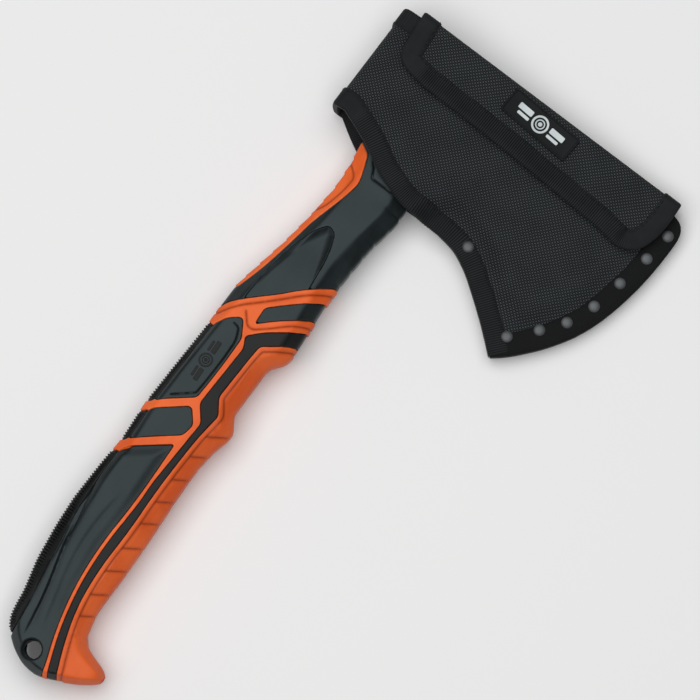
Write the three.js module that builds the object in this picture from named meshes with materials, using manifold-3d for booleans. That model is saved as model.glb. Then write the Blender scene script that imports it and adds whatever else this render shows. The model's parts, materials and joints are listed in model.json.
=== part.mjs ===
// Camp axe in its sheath: over-moulded handle, steel head, riveted fabric sheath with a two-hinge flap.
// Millimetres. +X runs along the handle towards the head, +Y towards the poll, +Z up, away from the bench.
// Pieces are drawn with the axe's own middle plane at z = 0. The last lines roll the whole axe about X
// until the sheath's back lies level, and put the origin under the middle of the lying axe.
import * as THREE from 'three';
import { mergeVertices } from 'three/addons/utils/BufferGeometryUtils.js';
import Module from 'manifold-3d';

const wasm = await Module();
wasm.setup();

// ---------------------------------------------------------------- driving dimensions
const GAP = 0.3;              // clearance between pieces that touch
const POLL_Y = 38;            // poll side of the sheath
const BIT_Y = -138;           // bit side of the sheath
const POLL_HALF = 16.5;       // half thickness of the lying sheath at the poll
const BIT_HALF = 5.2;         // and at the bit
const LOOP_DEPTH = 2.0;       // the back panel sits this much above the bench, on its belt loop
const CLOTH = 1.6;            // thickness of a sheath panel
const TAPE = 0.9;             // thickness of the edge tapes
const HEM_HALF = 3.2;         // half thickness of the sewn and riveted hem
const WELT_HALF = 1.3;        // half thickness of the welt between the panels
const HEM_SHARE = 0.62;       // part of a hem's inset that is flat
const SHELL = 3.5;            // thickness of the handle's over-mould
const SHOULDER_X = 306;       // upper end of the shaft, under the head
const HOLE = { x: 3, y: 12.5, r: 4.95 };          // lanyard hole
const TONGUE = { x0: 296, x1: 367.5, y0: -10.5, y1: 20.5, half: 5.2 };
const EYE = { x0: 300, x1: 380 };                 // the head's eye, cut clear through both ends
const SLEEVE = { thick: 1.4, x0: 313, x1: 366 };  // bedding sleeve round the tongue
const WEDGE = { x0: 346, y0: -4, y1: 14, tip: 0.4, top: 1.6 };  // half thicknesses at its ends
const FOLD = { x: 374.6, y: 18.4, lean: 0.0547 }; // top fold of the flap
const FLAP_Y0 = -131;         // lower end of the flap's top strip
const FLAP_Y1 = 26.5;         // upper end
const FLAP_LIFT = 2.6;        // underside of the flap over the front panel
const FLAP_BINDING = 9;       // width of the flap's binding
const RIVET = { cap: 3, shank: 1.4, dome: 1.7, washer: 0.6, sides: 12 };
const RIVETS = [
  [290.6, -55.9], [263.7, -96.9], [275.4, -108.6], [286.2, -118],
  [300.5, -124.8], [317.3, -129.2], [335.1, -133.5], [350.4, -136.1],
];

const BELT_LOOP = [[324, -32], [362, -34], [364, 6], [326, 8]];
const HOOK = { x0: -24, x1: -10, y0: -98, y1: 6 };  // hook tape, x counted from the fold
const LOOP_LONGER = 2;        // the loop tape is longer than the hook tape at each end
const LABEL = { x: 360.4, y: -52.3, width: 14, length: 41, corner: 1.5, lean: -0.118, thick: 1.4 };

const slope = (POLL_HALF - BIT_HALF) / (POLL_Y - BIT_Y);
const frontHalf = (y) => BIT_HALF + slope * (y - BIT_Y);
const backHalf = (y) => frontHalf(y) - LOOP_DEPTH;
const foldX = (y) => FOLD.x - FOLD.lean * (FOLD.y - y);

// ---------------------------------------------------------------- colours
const paint = (color, roughness, metalness = 0) => ({ color, roughness, metalness });
const PAINT = {
  steel: paint(0x8a8d90, 0.4, 0.9),
  core: paint(0x1c1e20, 0.6),
  resin: paint(0x3a3b34, 0.5),
  charcoal: paint(0x3c464b, 0.5),
  black: paint(0x17191b, 0.6),
  orange: paint(0xe2622f, 0.55),
  cloth: paint(0x1d1f20, 0.9),
  tape: paint(0x101112, 0.85),
  welt: paint(0x151617, 0.8),
  rubber: paint(0x0c0d0e, 0.7),
  rivet: paint(0x5f6264, 0.4, 0.8),
};

// ---------------------------------------------------------------- solids and outlines
function toSolid(geometry) {
  const bare = geometry.clone();
  bare.deleteAttribute('normal');
  bare.deleteAttribute('uv');
  const merged = mergeVertices(bare, 1e-4);
  const surface = new wasm.Mesh({
    numProp: 3,
    vertProperties: new Float32Array(merged.attributes.position.array),
    triVerts: new Uint32Array(merged.index.array),
  });
  return new wasm.Manifold(surface);
}

function toGeometry(solid) {
  const surface = solid.getMesh();
  const geometry = new THREE.BufferGeometry();
  geometry.setAttribute('position', new THREE.BufferAttribute(surface.vertProperties, 3));
  geometry.setIndex(new THREE.BufferAttribute(surface.triVerts, 1));
  const flat = geometry.toNonIndexed();
  flat.computeVertexNormals();
  return flat;
}

const capOf = (ring, across = [0, 1]) => THREE.ShapeUtils.triangulateShape(
  ring.map((p) => new THREE.Vector2(p[across[0]], p[across[1]])), [],
);

// A closed solid from a stack of rings with equal point counts. The end caps are given, or worked
// out from the two axes that a ring is seen flat in.
function stack(rings, across = [0, 1], cap = null) {
  const count = rings[0].length;
  const triangles = [];
  for (let r = 0; r + 1 < rings.length; r += 1) {
    for (let i = 0; i < count; i += 1) {
      const a = r * count + i;
      const b = r * count + ((i + 1) % count);
      triangles.push(a, b, b + count, a, b + count, a + count);
    }
  }
  const last = (rings.length - 1) * count;
  for (const [i, j, k] of cap ?? capOf(rings[0], across)) {
    triangles.push(i, k, j);
  }
  for (const [i, j, k] of cap ?? capOf(rings.at(-1), across)) {
    triangles.push(last + i, last + j, last + k);
  }
  const geometry = new THREE.BufferGeometry();
  geometry.setAttribute('position', new THREE.Float32BufferAttribute(rings.flat(2), 3));
  geometry.setIndex(triangles);
  return toSolid(geometry);
}

// The same outline moved inwards by a distance for each point, or by one distance for all. A point's
// turn swings its way in, anticlockwise, where the outline is too sharp for a square step.
function inset(outline, distance, turn = []) {
  const count = outline.length;
  return outline.map(([x, y], i) => {
    const [ax, ay] = outline[(i + count - 1) % count];
    const [bx, by] = outline[(i + 1) % count];
    const before = new THREE.Vector2(x - ax, y - ay).normalize();
    const after = new THREE.Vector2(bx - x, by - y).normalize();
    const along = before.clone().add(after).normalize();
    const reach = Math.min(1 / Math.max(along.dot(after), 0.1), 1.4);
    const d = reach * (Array.isArray(distance) ? distance[i] : distance);
    along.rotateAround(new THREE.Vector2(), turn[i] ?? 0);
    return [x - along.y * d, y + along.x * d];
  });
}

const counterClockwise = (points) => {
  const flat = points.map(([x, y]) => new THREE.Vector2(x, y));
  return THREE.ShapeUtils.isClockWise(flat) ? [...points].reverse() : points;
};

// A prism over a plan outline, between two heights.
function prism(outline, low = -40, high = 40) {
  const ring = counterClockwise(outline);
  return stack([ring.map(([x, y]) => [x, y, low]), ring.map(([x, y]) => [x, y, high])]);
}

const grown = (outline) => inset(counterClockwise(outline), -GAP);

// A flat layer of the sheath: side 1 is the front, -1 the back; low and high are counted from the panel.
function layer(outline, side, low, high) {
  const half = side > 0 ? frontHalf : backHalf;
  const at = (lift) => counterClockwise(outline).map(([x, y]) => [x, y, side * (half(y) + lift)]);
  return side > 0 ? stack([at(low), at(high)]) : stack([at(high), at(low)]);
}

function cylinder(x, y, radius, low, high) {
  const geometry = new THREE.CylinderGeometry(radius, radius, high - low, RIVET.sides);
  geometry.rotateX(Math.PI / 2);
  geometry.translate(x, y, (low + high) / 2);
  return toSolid(geometry);
}

const box = (x0, x1, y0, y1, z0, z1) => prism([[x0, y0], [x1, y0], [x1, y1], [x0, y1]], z0, z1);

// ---------------------------------------------------------------- the model
const axe = new THREE.Group();

function add(name, solid, colour) {
  const material = new THREE.MeshStandardMaterial(colour);
  const mesh = new THREE.Mesh(toGeometry(solid), material);
  mesh.name = name;
  axe.add(mesh);
}

// The largest separate bodies of a solid.
function bodies(solid, count) {
  const parts = solid.decompose();
  parts.sort((a, b) => b.volume() - a.volume());
  return parts.slice(0, count);
}

// ---------------------------------------------------------------- handle
// Handle outline from the shoulder along the spine to the butt and back along the belly.
// The third number is the width of the bevel from the outline to the flat side face.
const HANDLE = [
  [SHOULDER_X, 18, 6], [295, 16.2, 7], [279, 16, 7], [259, 18.6, 7], [241, 22.1, 7], [224, 26.4, 7],
  [210, 29.9, 7], [198, 30.6, 6], [184, 30.9, 5], [160, 33, 5], [136, 34.8, 5.5], [114, 34.4, 6],
  [99, 36.3, 7], [77, 37.9, 8], [60, 37.5, 8], [42, 36, 7], [24, 32.5, 6], [10, 31.6, 5], [3.5, 26.5, 5],
  [-1.8, 20.2, 5], [-5.6, 13, 4.5], [-6.8, 4.5, 4.5], [-4.6, -2, 4.5], [1.4, -15.1, 3.2], [8.2, -24, 3.2],
  [13.5, -21.5, 3.2], [17.7, -10.1, 4.5], [25, -5.2, 6], [36, -3.2, 7], [58, -4.3, 8], [80, -4.7, 8],
  [104, -4.4, 7], [123, -4.8, 7], [136, -7, 7], [146.4, -10.4, 7], [155, -4.9, 7], [184, -6.4, 7],
  [190.5, -12.6, 7], [208, -13.4, 7], [228, -12.8, 8], [243, -14, 9], [262, -15.9, 9], [279, -19.8, 9],
  [SHOULDER_X, -20, 9],
];
// Half thickness of the handle along its length.
const SWELL = [
  [-10, 11.6], [20, 12.8], [70, 14.2], [110, 13.6], [150, 12.8], [200, 13.2], [240, 12.4], [268, 11],
  [286, 9.3], [SHOULDER_X, 9.1],
];
const EDGE = 0.45;            // share of the half thickness where the bevel meets the edge

function halfThickness(x) {
  const i = Math.max(1, SWELL.findIndex(([at]) => at >= x));
  const [x0, t0] = SWELL[i - 1];
  const [x1, t1] = SWELL[i];
  return t0 + (t1 - t0) * THREE.MathUtils.clamp((x - x0) / (x1 - x0), 0, 1);
}

const outline = HANDLE.map(([x, y]) => [x, y]);
const handleCap = capOf(inset(outline, HANDLE.map(([, , bevel]) => bevel)));

// The handle's bevelled form, drawn smaller all round by less.
function handleForm(less) {
  const rim = inset(outline, less);
  const face = inset(outline, HANDLE.map(([, , bevel]) => bevel + less * 0.3));
  const at = (ring, share) => ring.map(([x, y], i) => [x, y, share * (halfThickness(HANDLE[i][0]) - less)]);
  return stack([at(face, -1), at(rim, -EDGE), at(rim, EDGE), at(face, 1)], [0, 1], handleCap);
}

const REGION = {
  upper_shaft: [
    [195.6, 40], [195.9, 30.6], [200.5, 28.3], [208.6, 19.4], [218.2, 8.1], [224.3, 2.1], [232.1, -7.9],
    [235.6, -12.6], [237, -30], [320, -40], [320, 40],
  ],
  spine_insert: [
    [209, 40], [209.2, 29.3], [224, 23.9], [241, 19.7], [258, 16], [266.8, 12.8], [280, 8.3], [286, 6.9],
    [291, 8.1], [303.5, 14.5], [304, 40],
  ],
  thumb_pad: [
    [215, 20.6], [236, 17.4], [254, 11], [259.5, 6], [256.5, 2.2], [240, 0.6], [229, 1.6], [221.5, 9.5],
  ],
  waist_inlay: [
    [207.9, 10.9], [218.3, -1.1], [227.1, -12.9], [228.5, -22], [214.5, -22], [216, -12.7], [206.2, 1.8],
    [198.2, 10.8],
  ],
  badge_plate: [
    [187.6, 28.2], [193.2, 24.3], [197.3, 18.6], [197.1, 16.6], [188.6, 12], [169.3, 12.6],
    [152.1, 14.2], [142.8, 27], [139.4, 31],
  ],
  upper_spine_strip: [
    [136.9, 40], [137, 34.4], [139.4, 31.4], [163, 29.9], [187.2, 28.6], [188.2, 40],
  ],
  hex_plate: [
    [134.4, 31.1], [146.3, 15], [146.1, 13.1], [139.4, 8], [132.5, 9.5], [124, 21.2], [116.3, 31.2],
  ],
  middle_spine_strip: [
    [131.4, 40], [131.5, 34.2], [134, 31.5], [116, 31.6], [113.8, 34.3], [113.6, 40],
  ],
  palm_plate: [
    [108.9, 32.2], [83.4, 33.3], [62.3, 31.7], [41.1, 29.1], [18.1, 26.2], [4.8, 25.6], [-12, 25],
    [-14, 0], [-1.8, 1.9], [17.2, 7.8], [39.3, 12], [63.7, 13], [93.1, 10.5], [126.6, 10.2],
    [113.1, 29.1],
  ],
  lower_spine_strip: [
    [107.4, 42], [107.6, 34.9], [108.9, 32.6], [83.4, 33.7], [62.3, 32.1], [41.1, 29.5], [18.1, 26.6],
    [4.8, 26], [-2, 29], [8, 42],
  ],
  zigzag_band: [
    [190.8, 11.3], [185.1, 8.5], [150.6, 11.4], [142.2, 5.2], [104, 8.7], [93.1, 8.6], [63.7, 11.1],
    [39.3, 10.1], [17.2, 5.9], [-1.2, 0], [-12, -4], [-12, -9], [-1.1, -4.9], [13.5, 0.5], [32.3, 5.4],
    [54.4, 6.8], [77.6, 5], [104.1, 4.9], [135.4, 2.6], [150.2, 0], [158.2, 5.2], [183.6, 3.1],
    [190.5, 2.2], [200.3, -13.1], [201, -22], [209.4, -22], [209.3, -13.4], [197.5, 4.4],
  ],
};

function handle() {
  const hole = cylinder(HOLE.x, HOLE.y, HOLE.r, -40, 40);
  const tongue = roundTongue(TONGUE.x0, TONGUE.x1, 0);
  const tongueRoom = roundTongue(TONGUE.x0, TONGUE.x1, GAP);
  const core = handleForm(SHELL + 2 * GAP).add(tongue).subtract(hole);
  const shell = handleForm(0).subtract(handleForm(SHELL)).subtract(tongueRoom).subtract(hole);
  const wedgeRoom = wedge(GAP);
  add('handle_core', core.subtract(wedgeRoom), PAINT.core);

  const cut = (name) => shell.intersect(prism(REGION[name]));
  const without = (solid, ...names) => names.reduce(
    (rest, name) => rest.subtract(prism(grown(REGION[name]))), solid,
  );
  const frontSpace = box(-20, 320, -45, 45, GAP / 2, 40);
  const backSpace = box(-20, 320, -45, 45, -40, -GAP / 2);
  const oneSide = (solid, side) => bodies(solid.intersect(side > 0 ? frontSpace : backSpace), 1)[0];

  const upper = without(cut('upper_shaft'), 'spine_insert', 'thumb_pad');
  add('upper_shaft_cover', bodies(upper, 1)[0], PAINT.charcoal);
  add('spine_insert', bodies(cut('spine_insert'), 1)[0], PAINT.orange);
  for (const name of ['upper_spine_strip', 'middle_spine_strip', 'lower_spine_strip']) {
    add(name, bodies(cut(name), 1)[0], PAINT.black);
  }
  const plates = {
    thumb_pad: PAINT.charcoal,
    waist_inlay: PAINT.charcoal,
    badge_plate: PAINT.charcoal,
    hex_plate: PAINT.charcoal,
    palm_plate: PAINT.charcoal,
    zigzag_band: PAINT.black,
  };
  for (const [name, colour] of Object.entries(plates)) {
    add(`${name}_front`, oneSide(cut(name), 1), colour);
    add(`${name}_back`, oneSide(cut(name), -1), colour);
  }
  const orange = without(
    shell, 'upper_shaft', 'waist_inlay', 'badge_plate', 'upper_spine_strip', 'hex_plate',
    'middle_spine_strip', 'palm_plate', 'lower_spine_strip', 'zigzag_band',
  );
  const [first, second] = bodies(orange, 2);
  const middle = (solid) => (solid.boundingBox().min[1] + solid.boundingBox().max[1]) / 2;
  const [net, belly] = middle(first) > middle(second) ? [first, second] : [second, first];
  add('orange_overmould', net, PAINT.orange);
  add('belly_grip', belly, PAINT.orange);
}

// ---------------------------------------------------------------- head
// Wedge driven into the top of the tongue, grown by room for its slot.
function wedge(room) {
  const y0 = WEDGE.y0 - room;
  const y1 = WEDGE.y1 + room;
  const ring = (x, half) => [
    [x, y0, -half - room], [x, y1, -half - room], [x, y1, half + room], [x, y0, half + room],
  ];
  const top = TONGUE.x1 + 0.5 + room;
  return stack([ring(WEDGE.x0 - room, WEDGE.tip), ring(top, WEDGE.top)], [1, 2]);
}

// A box round the tongue, wider than it by room.
function roundTongue(x0, x1, room) {
  const half = TONGUE.half + room;
  return box(x0, x1, TONGUE.y0 - room, TONGUE.y1 + room, -half, half);
}

// Stations from the poll to the bit: upper corner, lower corner, half thickness, bulge of the edge.
const HEAD = [
  [369, 33.6, 318, 36.4, 11.6, 0], [369, 24, 314, 26, 11.4, 0], [368.6, 4, 311, 4, 10.2, 0],
  [368, -14, 309, -16, 9, 0], [366.4, -40, 304, -42, 7.2, 1], [364, -66, 299, -60, 5.4, 3],
  [360.5, -92, 289, -76, 3.8, 5], [355, -111, 279, -87, 2.1, 7], [348, -125, 273, -93.5, 0.3, 9],
];

function head() {
  const across = [[-1, 0.4], [-0.86, 0.92], [-0.35, 1], [0.35, 1], [0.86, 0.92], [1, 0.4]];
  const rings = HEAD.map(([ux, uy, lx, ly, half, bulge]) => {
    const chord = new THREE.Vector2(ux - lx, uy - ly).normalize();
    const point = (s, share, side) => {
      const out = bulge * (1 - s * s);
      const x = lx + ((ux - lx) * (s + 1)) / 2 + chord.y * out;
      const y = ly + ((uy - ly) * (s + 1)) / 2 - chord.x * out;
      return [x, y, side * share * half];
    };
    const back = across.map(([s, share]) => point(s, share, -1));
    const front = [...across].reverse().map(([s, share]) => point(s, share, 1));
    return [...back, ...front];
  });
  const eye = roundTongue(EYE.x0, EYE.x1, SLEEVE.thick + 2 * GAP);
  add('axe_head', stack(rings, [0, 2]).subtract(eye), PAINT.steel);
  const sleeve = roundTongue(SLEEVE.x0, SLEEVE.x1, SLEEVE.thick + GAP);
  add('eye_sleeve', sleeve.subtract(roundTongue(EYE.x0, EYE.x1, GAP)), PAINT.resin);
  add('top_wedge', wedge(0), PAINT.core);
}

// ---------------------------------------------------------------- sheath
// Panel outline: x, y, how far the edge is sewn down (0 open, 1 sewn), inset of the hem's slope,
// and the turn of that inset round the heel.
const PANEL = [
  [313, 32.6, 0, 14], [309.5, 24.5, 0, 14], [304.5, 13.5, 0, 14], [297, 2.5, 0, 14], [289.5, -15.8, 0, 14],
  [288.9, -30, 0.3, 14], [287.9, -43, 1, 15], [286.1, -51.1, 1, 17], [280.6, -61.2, 1, 17],
  [270.8, -73.5, 1, 16, 0.2], [261.1, -84.8, 1, 17.5, 0.65], [251.1, -95.2, 1, 22.5],
  [256.1, -102, 1, 24, -0.55],
  [263, -109, 1, 22, -0.42], [270.2, -115.6, 1, 20, -0.25], [280, -122.8, 1, 17], [288, -127.3, 1, 18],
  [296.6, -131, 1, 18], [308, -134.6, 1, 18], [320, -137.4, 1, 18], [332.5, -139.3, 1, 18],
  [345, -140.3, 1, 17], [353.5, -140.5, 1, 15], [358.4, -138.1, 1, 13.4, -0.3], [360.4, -132.4, 1, 12, -0.3],
  [364.2, -124, 0, 10], [366.6, -90, 0, 12], [368.6, -50, 0, 12], [370.3, -16, 0, 12],
  [371.9, 29.4, 0, 9],
];
const HEEL = 11;              // places in PANEL where the edge tapes meet
const TOE = 24;
const BEARD = 6;

const panelOutline = PANEL.map(([x, y]) => [x, y]);
const hemTurn = PANEL.map(([, , , , turn]) => turn);
const hemOutline = inset(panelOutline, PANEL.map(([, , , depth]) => depth * HEM_SHARE), hemTurn);
const flatOutline = inset(panelOutline, PANEL.map(([, , , depth]) => depth), hemTurn);

function edgeHalf(i, side) {
  const half = (side > 0 ? frontHalf : backHalf)(PANEL[i][1]);
  return THREE.MathUtils.lerp(half, HEM_HALF, PANEL[i][2]);
}

const drill = (solid) => RIVETS.reduce(
  (rest, [x, y]) => rest.subtract(cylinder(x, y, RIVET.shank + GAP, -20, 20)), solid,
);

function panel(side) {
  const half = side > 0 ? frontHalf : backHalf;
  const edge = (ring, lift) => ring.map(([x, y], i) => [x, y, side * (edgeHalf(i, side) + lift)]);
  const face = (lift) => flatOutline.map(([x, y]) => [x, y, side * (half(y) + lift)]);
  const rings = [
    face(-CLOTH), edge(hemOutline, -CLOTH), edge(panelOutline, -CLOTH),
    edge(panelOutline, 0), edge(hemOutline, 0), face(0),
  ];
  return drill(stack(side > 0 ? rings : rings.reverse()));
}

// A tape over the hem between two places of the outline, or the welt between the panels. Its faces
// are split along the same diagonals as the panel's hem, so that they stay parallel.
function tape(first, last, height, side = 1) {
  const there = [];
  const back = [];
  const cap = [];
  const end = 2 * (last - first) + 1;
  for (let i = first; i <= last; i += 1) {
    there.push([panelOutline[i], i]);
    back.unshift([hemOutline[i], i]);
    const a = i - first;
    if (i === last) continue;
    if (side > 0) cap.push([a, a + 1, end - a - 1], [a, end - a - 1, end - a]);
    else cap.push([a, a + 1, end - a], [a + 1, end - a - 1, end - a]);
  }
  const at = (lift) => [...there, ...back].map(([[x, y], i]) => [x, y, height(i, lift)]);
  return drill(stack([at(0), at(1)], [0, 1], cap));
}

function edgeTape(first, last, side) {
  const height = (i, lift) => {
    const rise = side > 0 ? lift : 1 - lift;
    return side * (edgeHalf(i, side) + GAP + TAPE * rise);
  };
  return tape(first, last, height, side);
}

// The fabric that wraps round the poll side, and the tapes over its two mouths.
const POLL_EDGE = { x: 315.7, y: 39.2, lean: 0.0576, depth: 6.2, corner: 3.2 };

function pollSection(x, grow, thick) {
  const edge = POLL_EDGE.y - POLL_EDGE.lean * (x - POLL_EDGE.x) + grow;
  const start = POLL_EDGE.y - POLL_EDGE.lean * (x - POLL_EDGE.x) - POLL_EDGE.depth + GAP;
  const c = POLL_EDGE.corner;
  const line = (less) => {
    const top = frontHalf(edge) + grow - less;
    const low = -backHalf(edge) - grow + less;
    const y = edge - less;
    return [
      [x, start, low], [x, y - c, low], [x, y - c * 0.3, low + c * 0.3], [x, y, low + c],
      [x, y, top - c], [x, y - c * 0.3, top - c * 0.3], [x, y - c, top], [x, start, top],
    ];
  };
  return [...line(0), ...line(thick).reverse()];
}

function pollWrap(x0, x1, grow, thick) {
  return stack([pollSection(x0, grow, thick), pollSection(x1, grow, thick)], [1, 2]);
}

function sheath() {
  add('sheath_front_panel', panel(1), PAINT.cloth);
  add('sheath_back_panel', panel(-1), PAINT.cloth);
  add('sheath_poll_wrap', pollWrap(312.4, 371.2, 0, CLOTH), PAINT.cloth);
  add('poll_mouth_binding', pollWrap(362.5, 372.2, GAP + TAPE, TAPE), PAINT.tape);
  add('poll_bottom_binding', pollWrap(311.4, 320.4, GAP + TAPE, TAPE), PAINT.tape);
  const welt = tape(BEARD, TOE - 1, (i, lift) => WELT_HALF * (2 * lift - 1));
  add('edge_welt', welt, PAINT.welt);
  add('bottom_binding_front', edgeTape(0, HEEL - 1, 1), PAINT.tape);
  add('bottom_binding_back', edgeTape(0, HEEL - 1, -1), PAINT.tape);
  add('bit_band_front', edgeTape(HEEL, TOE, 1), PAINT.tape);
  add('bit_band_back', edgeTape(HEEL, TOE, -1), PAINT.tape);
  add('belt_loop', layer(BELT_LOOP, -1, GAP, LOOP_DEPTH), PAINT.tape);
}

function rivets() {
  const base = HEM_HALF + GAP + TAPE + 0.1;
  RIVETS.forEach(([x, y], i) => {
    const profile = [
      [0, -base], [RIVET.shank, -base], [RIVET.shank, base], [RIVET.cap, base],
      [RIVET.cap * 0.94, base + 0.6], [RIVET.cap * 0.62, base + RIVET.dome * 0.8], [0, base + RIVET.dome],
    ].map(([r, z]) => new THREE.Vector2(r, z));
    const rivet = new THREE.LatheGeometry(profile, RIVET.sides);
    rivet.rotateX(Math.PI / 2);
    rivet.translate(x, y, 0);
    add(`rivet_${i + 1}`, toSolid(rivet), PAINT.rivet);
    const washer = cylinder(x, y, RIVET.cap, -base - RIVET.washer, -base + 0.05)
      .subtract(cylinder(x, y, RIVET.shank + GAP / 2, -base - 2, base));
    add(`rivet_washer_${i + 1}`, washer, PAINT.rivet);
  });
}

// ---------------------------------------------------------------- flap
const FLAP = [
  [foldX(FLAP_Y1), FLAP_Y1], [355, 25.2], [350, 23.6], [347.2, 19], [344.6, 9.2], [340.5, -47.7],
  [334.3, -105.9], [331.8, -117.1], [333.6, -123.6], [337.7, -128.1], [347.3, -131.7],
  [359.9, -132.6], [foldX(FLAP_Y0), FLAP_Y0 - 1.4],
];

function flap() {
  const strip = [[-CLOTH, FLAP_Y0], [0, FLAP_Y0], [0, FLAP_Y1], [-CLOTH, FLAP_Y1]]
    .map(([dx, y]) => [foldX(y) + dx, y]);
  const low = strip.map(([x, y]) => [x, y, -backHalf(y)]);
  const high = strip.map(([x, y]) => [x, y, frontHalf(y) + FLAP_LIFT - GAP]);
  add('flap_top_strip', stack([low, high]), PAINT.cloth);

  const inner = inset(FLAP, FLAP_BINDING);
  const end = inner.length - 1;
  inner[0] = [foldX(inner[0][1]), inner[0][1]];
  inner[end] = [foldX(inner[end][1]), inner[end][1]];
  const cloth = inset(inner, GAP).map(([x, y]) => [Math.min(x, foldX(y)), y]);
  add('flap_panel', layer(cloth, 1, FLAP_LIFT, FLAP_LIFT + CLOTH), PAINT.cloth);
  const band = [...FLAP, ...[...inner].reverse()];
  add('flap_binding', layer(band, 1, FLAP_LIFT, FLAP_LIFT + CLOTH + TAPE), PAINT.tape);

  const tapeStrip = (x0, x1, y0, y1) => [
    [foldX(y0) + x0, y0], [foldX(y0) + x1, y0], [foldX(y1) + x1, y1], [foldX(y1) + x0, y1],
  ];
  const hook = tapeStrip(HOOK.x0, HOOK.x1, HOOK.y0, HOOK.y1);
  const loop = tapeStrip(HOOK.x0, HOOK.x1, HOOK.y0 - LOOP_LONGER, HOOK.y1 + LOOP_LONGER);
  add('loop_tape', layer(loop, 1, 0.25, 1.15), PAINT.tape);
  add('hook_tape', layer(hook, 1, 1.45, FLAP_LIFT - GAP), PAINT.tape);

  const w = LABEL.width / 2;
  const l = LABEL.length / 2;
  const c = LABEL.corner;
  const corners = [
    [w, l - c], [w - c, l], [c - w, l], [-w, l - c], [-w, c - l], [c - w, -l], [w - c, -l], [w, c - l],
  ];
  const label = corners.map(([x, y]) => {
    const p = new THREE.Vector2(x, y).rotateAround(new THREE.Vector2(), LABEL.lean);
    return [LABEL.x + p.x, LABEL.y + p.y];
  });
  const labelLow = FLAP_LIFT + CLOTH + GAP;
  add('label_patch', layer(label, 1, labelLow, labelLow + LABEL.thick), PAINT.rubber);
}

handle();
head();
sheath();
rivets();
flap();

// ---------------------------------------------------------------- laying it on the bench
const roll = Math.atan(slope);
axe.rotation.x = roll;
axe.updateMatrixWorld(true);
const bounds = new THREE.Box3().setFromObject(axe, true);
const middle = bounds.getCenter(new THREE.Vector3());
axe.position.set(-middle.x, -middle.y, -bounds.min.z);

const group = new THREE.Group();
group.add(axe);

export default group;
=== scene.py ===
"""A camp axe lying in its sheath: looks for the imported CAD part, built as meshes around it.

Pieces are worked out in millimetres in the axe's own frame: x along the handle towards the head,
y towards the poll, z towards the sheath's front, with the axe's middle plane at z = 0.
placed() turns that frame into the row frame, in metres.
"""
import json
import math
from functools import partial

import bpy
import numpy as np
from mathutils import Matrix, Vector


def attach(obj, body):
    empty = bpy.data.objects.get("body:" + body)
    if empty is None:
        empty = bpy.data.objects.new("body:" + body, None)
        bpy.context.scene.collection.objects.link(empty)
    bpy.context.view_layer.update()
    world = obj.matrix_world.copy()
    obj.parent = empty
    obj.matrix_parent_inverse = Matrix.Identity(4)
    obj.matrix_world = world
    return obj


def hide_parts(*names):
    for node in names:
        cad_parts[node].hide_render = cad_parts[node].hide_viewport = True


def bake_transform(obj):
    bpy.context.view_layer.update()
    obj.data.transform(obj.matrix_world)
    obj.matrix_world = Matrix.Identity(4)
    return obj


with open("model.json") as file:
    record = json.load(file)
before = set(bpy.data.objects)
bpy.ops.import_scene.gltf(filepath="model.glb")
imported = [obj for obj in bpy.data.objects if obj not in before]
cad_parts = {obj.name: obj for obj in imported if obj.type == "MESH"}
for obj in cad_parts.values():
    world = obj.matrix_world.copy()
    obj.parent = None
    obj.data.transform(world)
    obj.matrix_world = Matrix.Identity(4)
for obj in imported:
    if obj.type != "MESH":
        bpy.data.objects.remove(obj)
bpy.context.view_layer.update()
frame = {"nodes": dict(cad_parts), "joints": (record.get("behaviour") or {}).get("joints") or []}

# ---------------------------------------------------------------- driving dimensions, in millimetres
POLL_Y, BIT_Y = 38.0, -138.0
POLL_HALF, BIT_HALF = 16.5, 5.2       # half thickness of the lying sheath at the poll and at the bit
LOOP_DEPTH = 2.0                      # height of the back panel over the bench
CLOTH, TAPE = 1.6, 0.9                # thickness of a panel and of a tape
HEM_HALF, WELT_HALF = 3.2, 1.3        # half thickness of the sewn edge and of the welt in it
FOLD_X, FOLD_Y, FOLD_LEAN = 374.6, 18.4, 0.0547       # a place on the flap's folds, and their lean
FLAP_LIFT = 2.6                       # with CLOTH, the height of the flap's face over the front panel
SHOULDER_X = 306.0
HOLE_X, HOLE_Y, HOLE_R = 3.0, 12.5, 4.95              # of the lanyard hole
SEAM = 0.09                           # half the gap between neighbouring grip pieces
ROUNDING = 0.42                       # radius on a grip piece's border
SHELL = 2.4                           # thickness of the modelled grip pieces
RIVETS = [
    (290.6, -55.9), (263.7, -96.9), (275.4, -108.6), (286.2, -118.0),
    (300.5, -124.8), (317.3, -129.2), (335.1, -133.5), (350.4, -136.1),
]

SLOPE = (POLL_HALF - BIT_HALF) / (POLL_Y - BIT_Y)
ROLL = math.atan(SLOPE)


def front_half(y):
    return BIT_HALF + SLOPE * (y - BIT_Y)


def back_half(y):
    return front_half(y) - LOOP_DEPTH


def fold_x(y):
    return FOLD_X - FOLD_LEAN * (FOLD_Y - y)


joints = {joint["name"]: joint for joint in frame["joints"]}
TURN = np.array(Matrix.Rotation(ROLL, 3, "X"))
hinge_corner = np.array([FOLD_X, FOLD_Y, -back_half(FOLD_Y)]) / 1000
SHIFT = np.array(joints["flap_hinge"]["pos_m"]) - TURN @ hinge_corner


def placed(points):
    return np.asarray(points, float) @ TURN.T / 1000 + SHIFT


# ---------------------------------------------------------------- small shape tools
def smooth_step(t):
    t = np.clip(t, 0, 1)
    return t * t * (3 - 2 * t)


def bell(distance, width):
    return np.exp(-(distance / width) ** 2)


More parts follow.
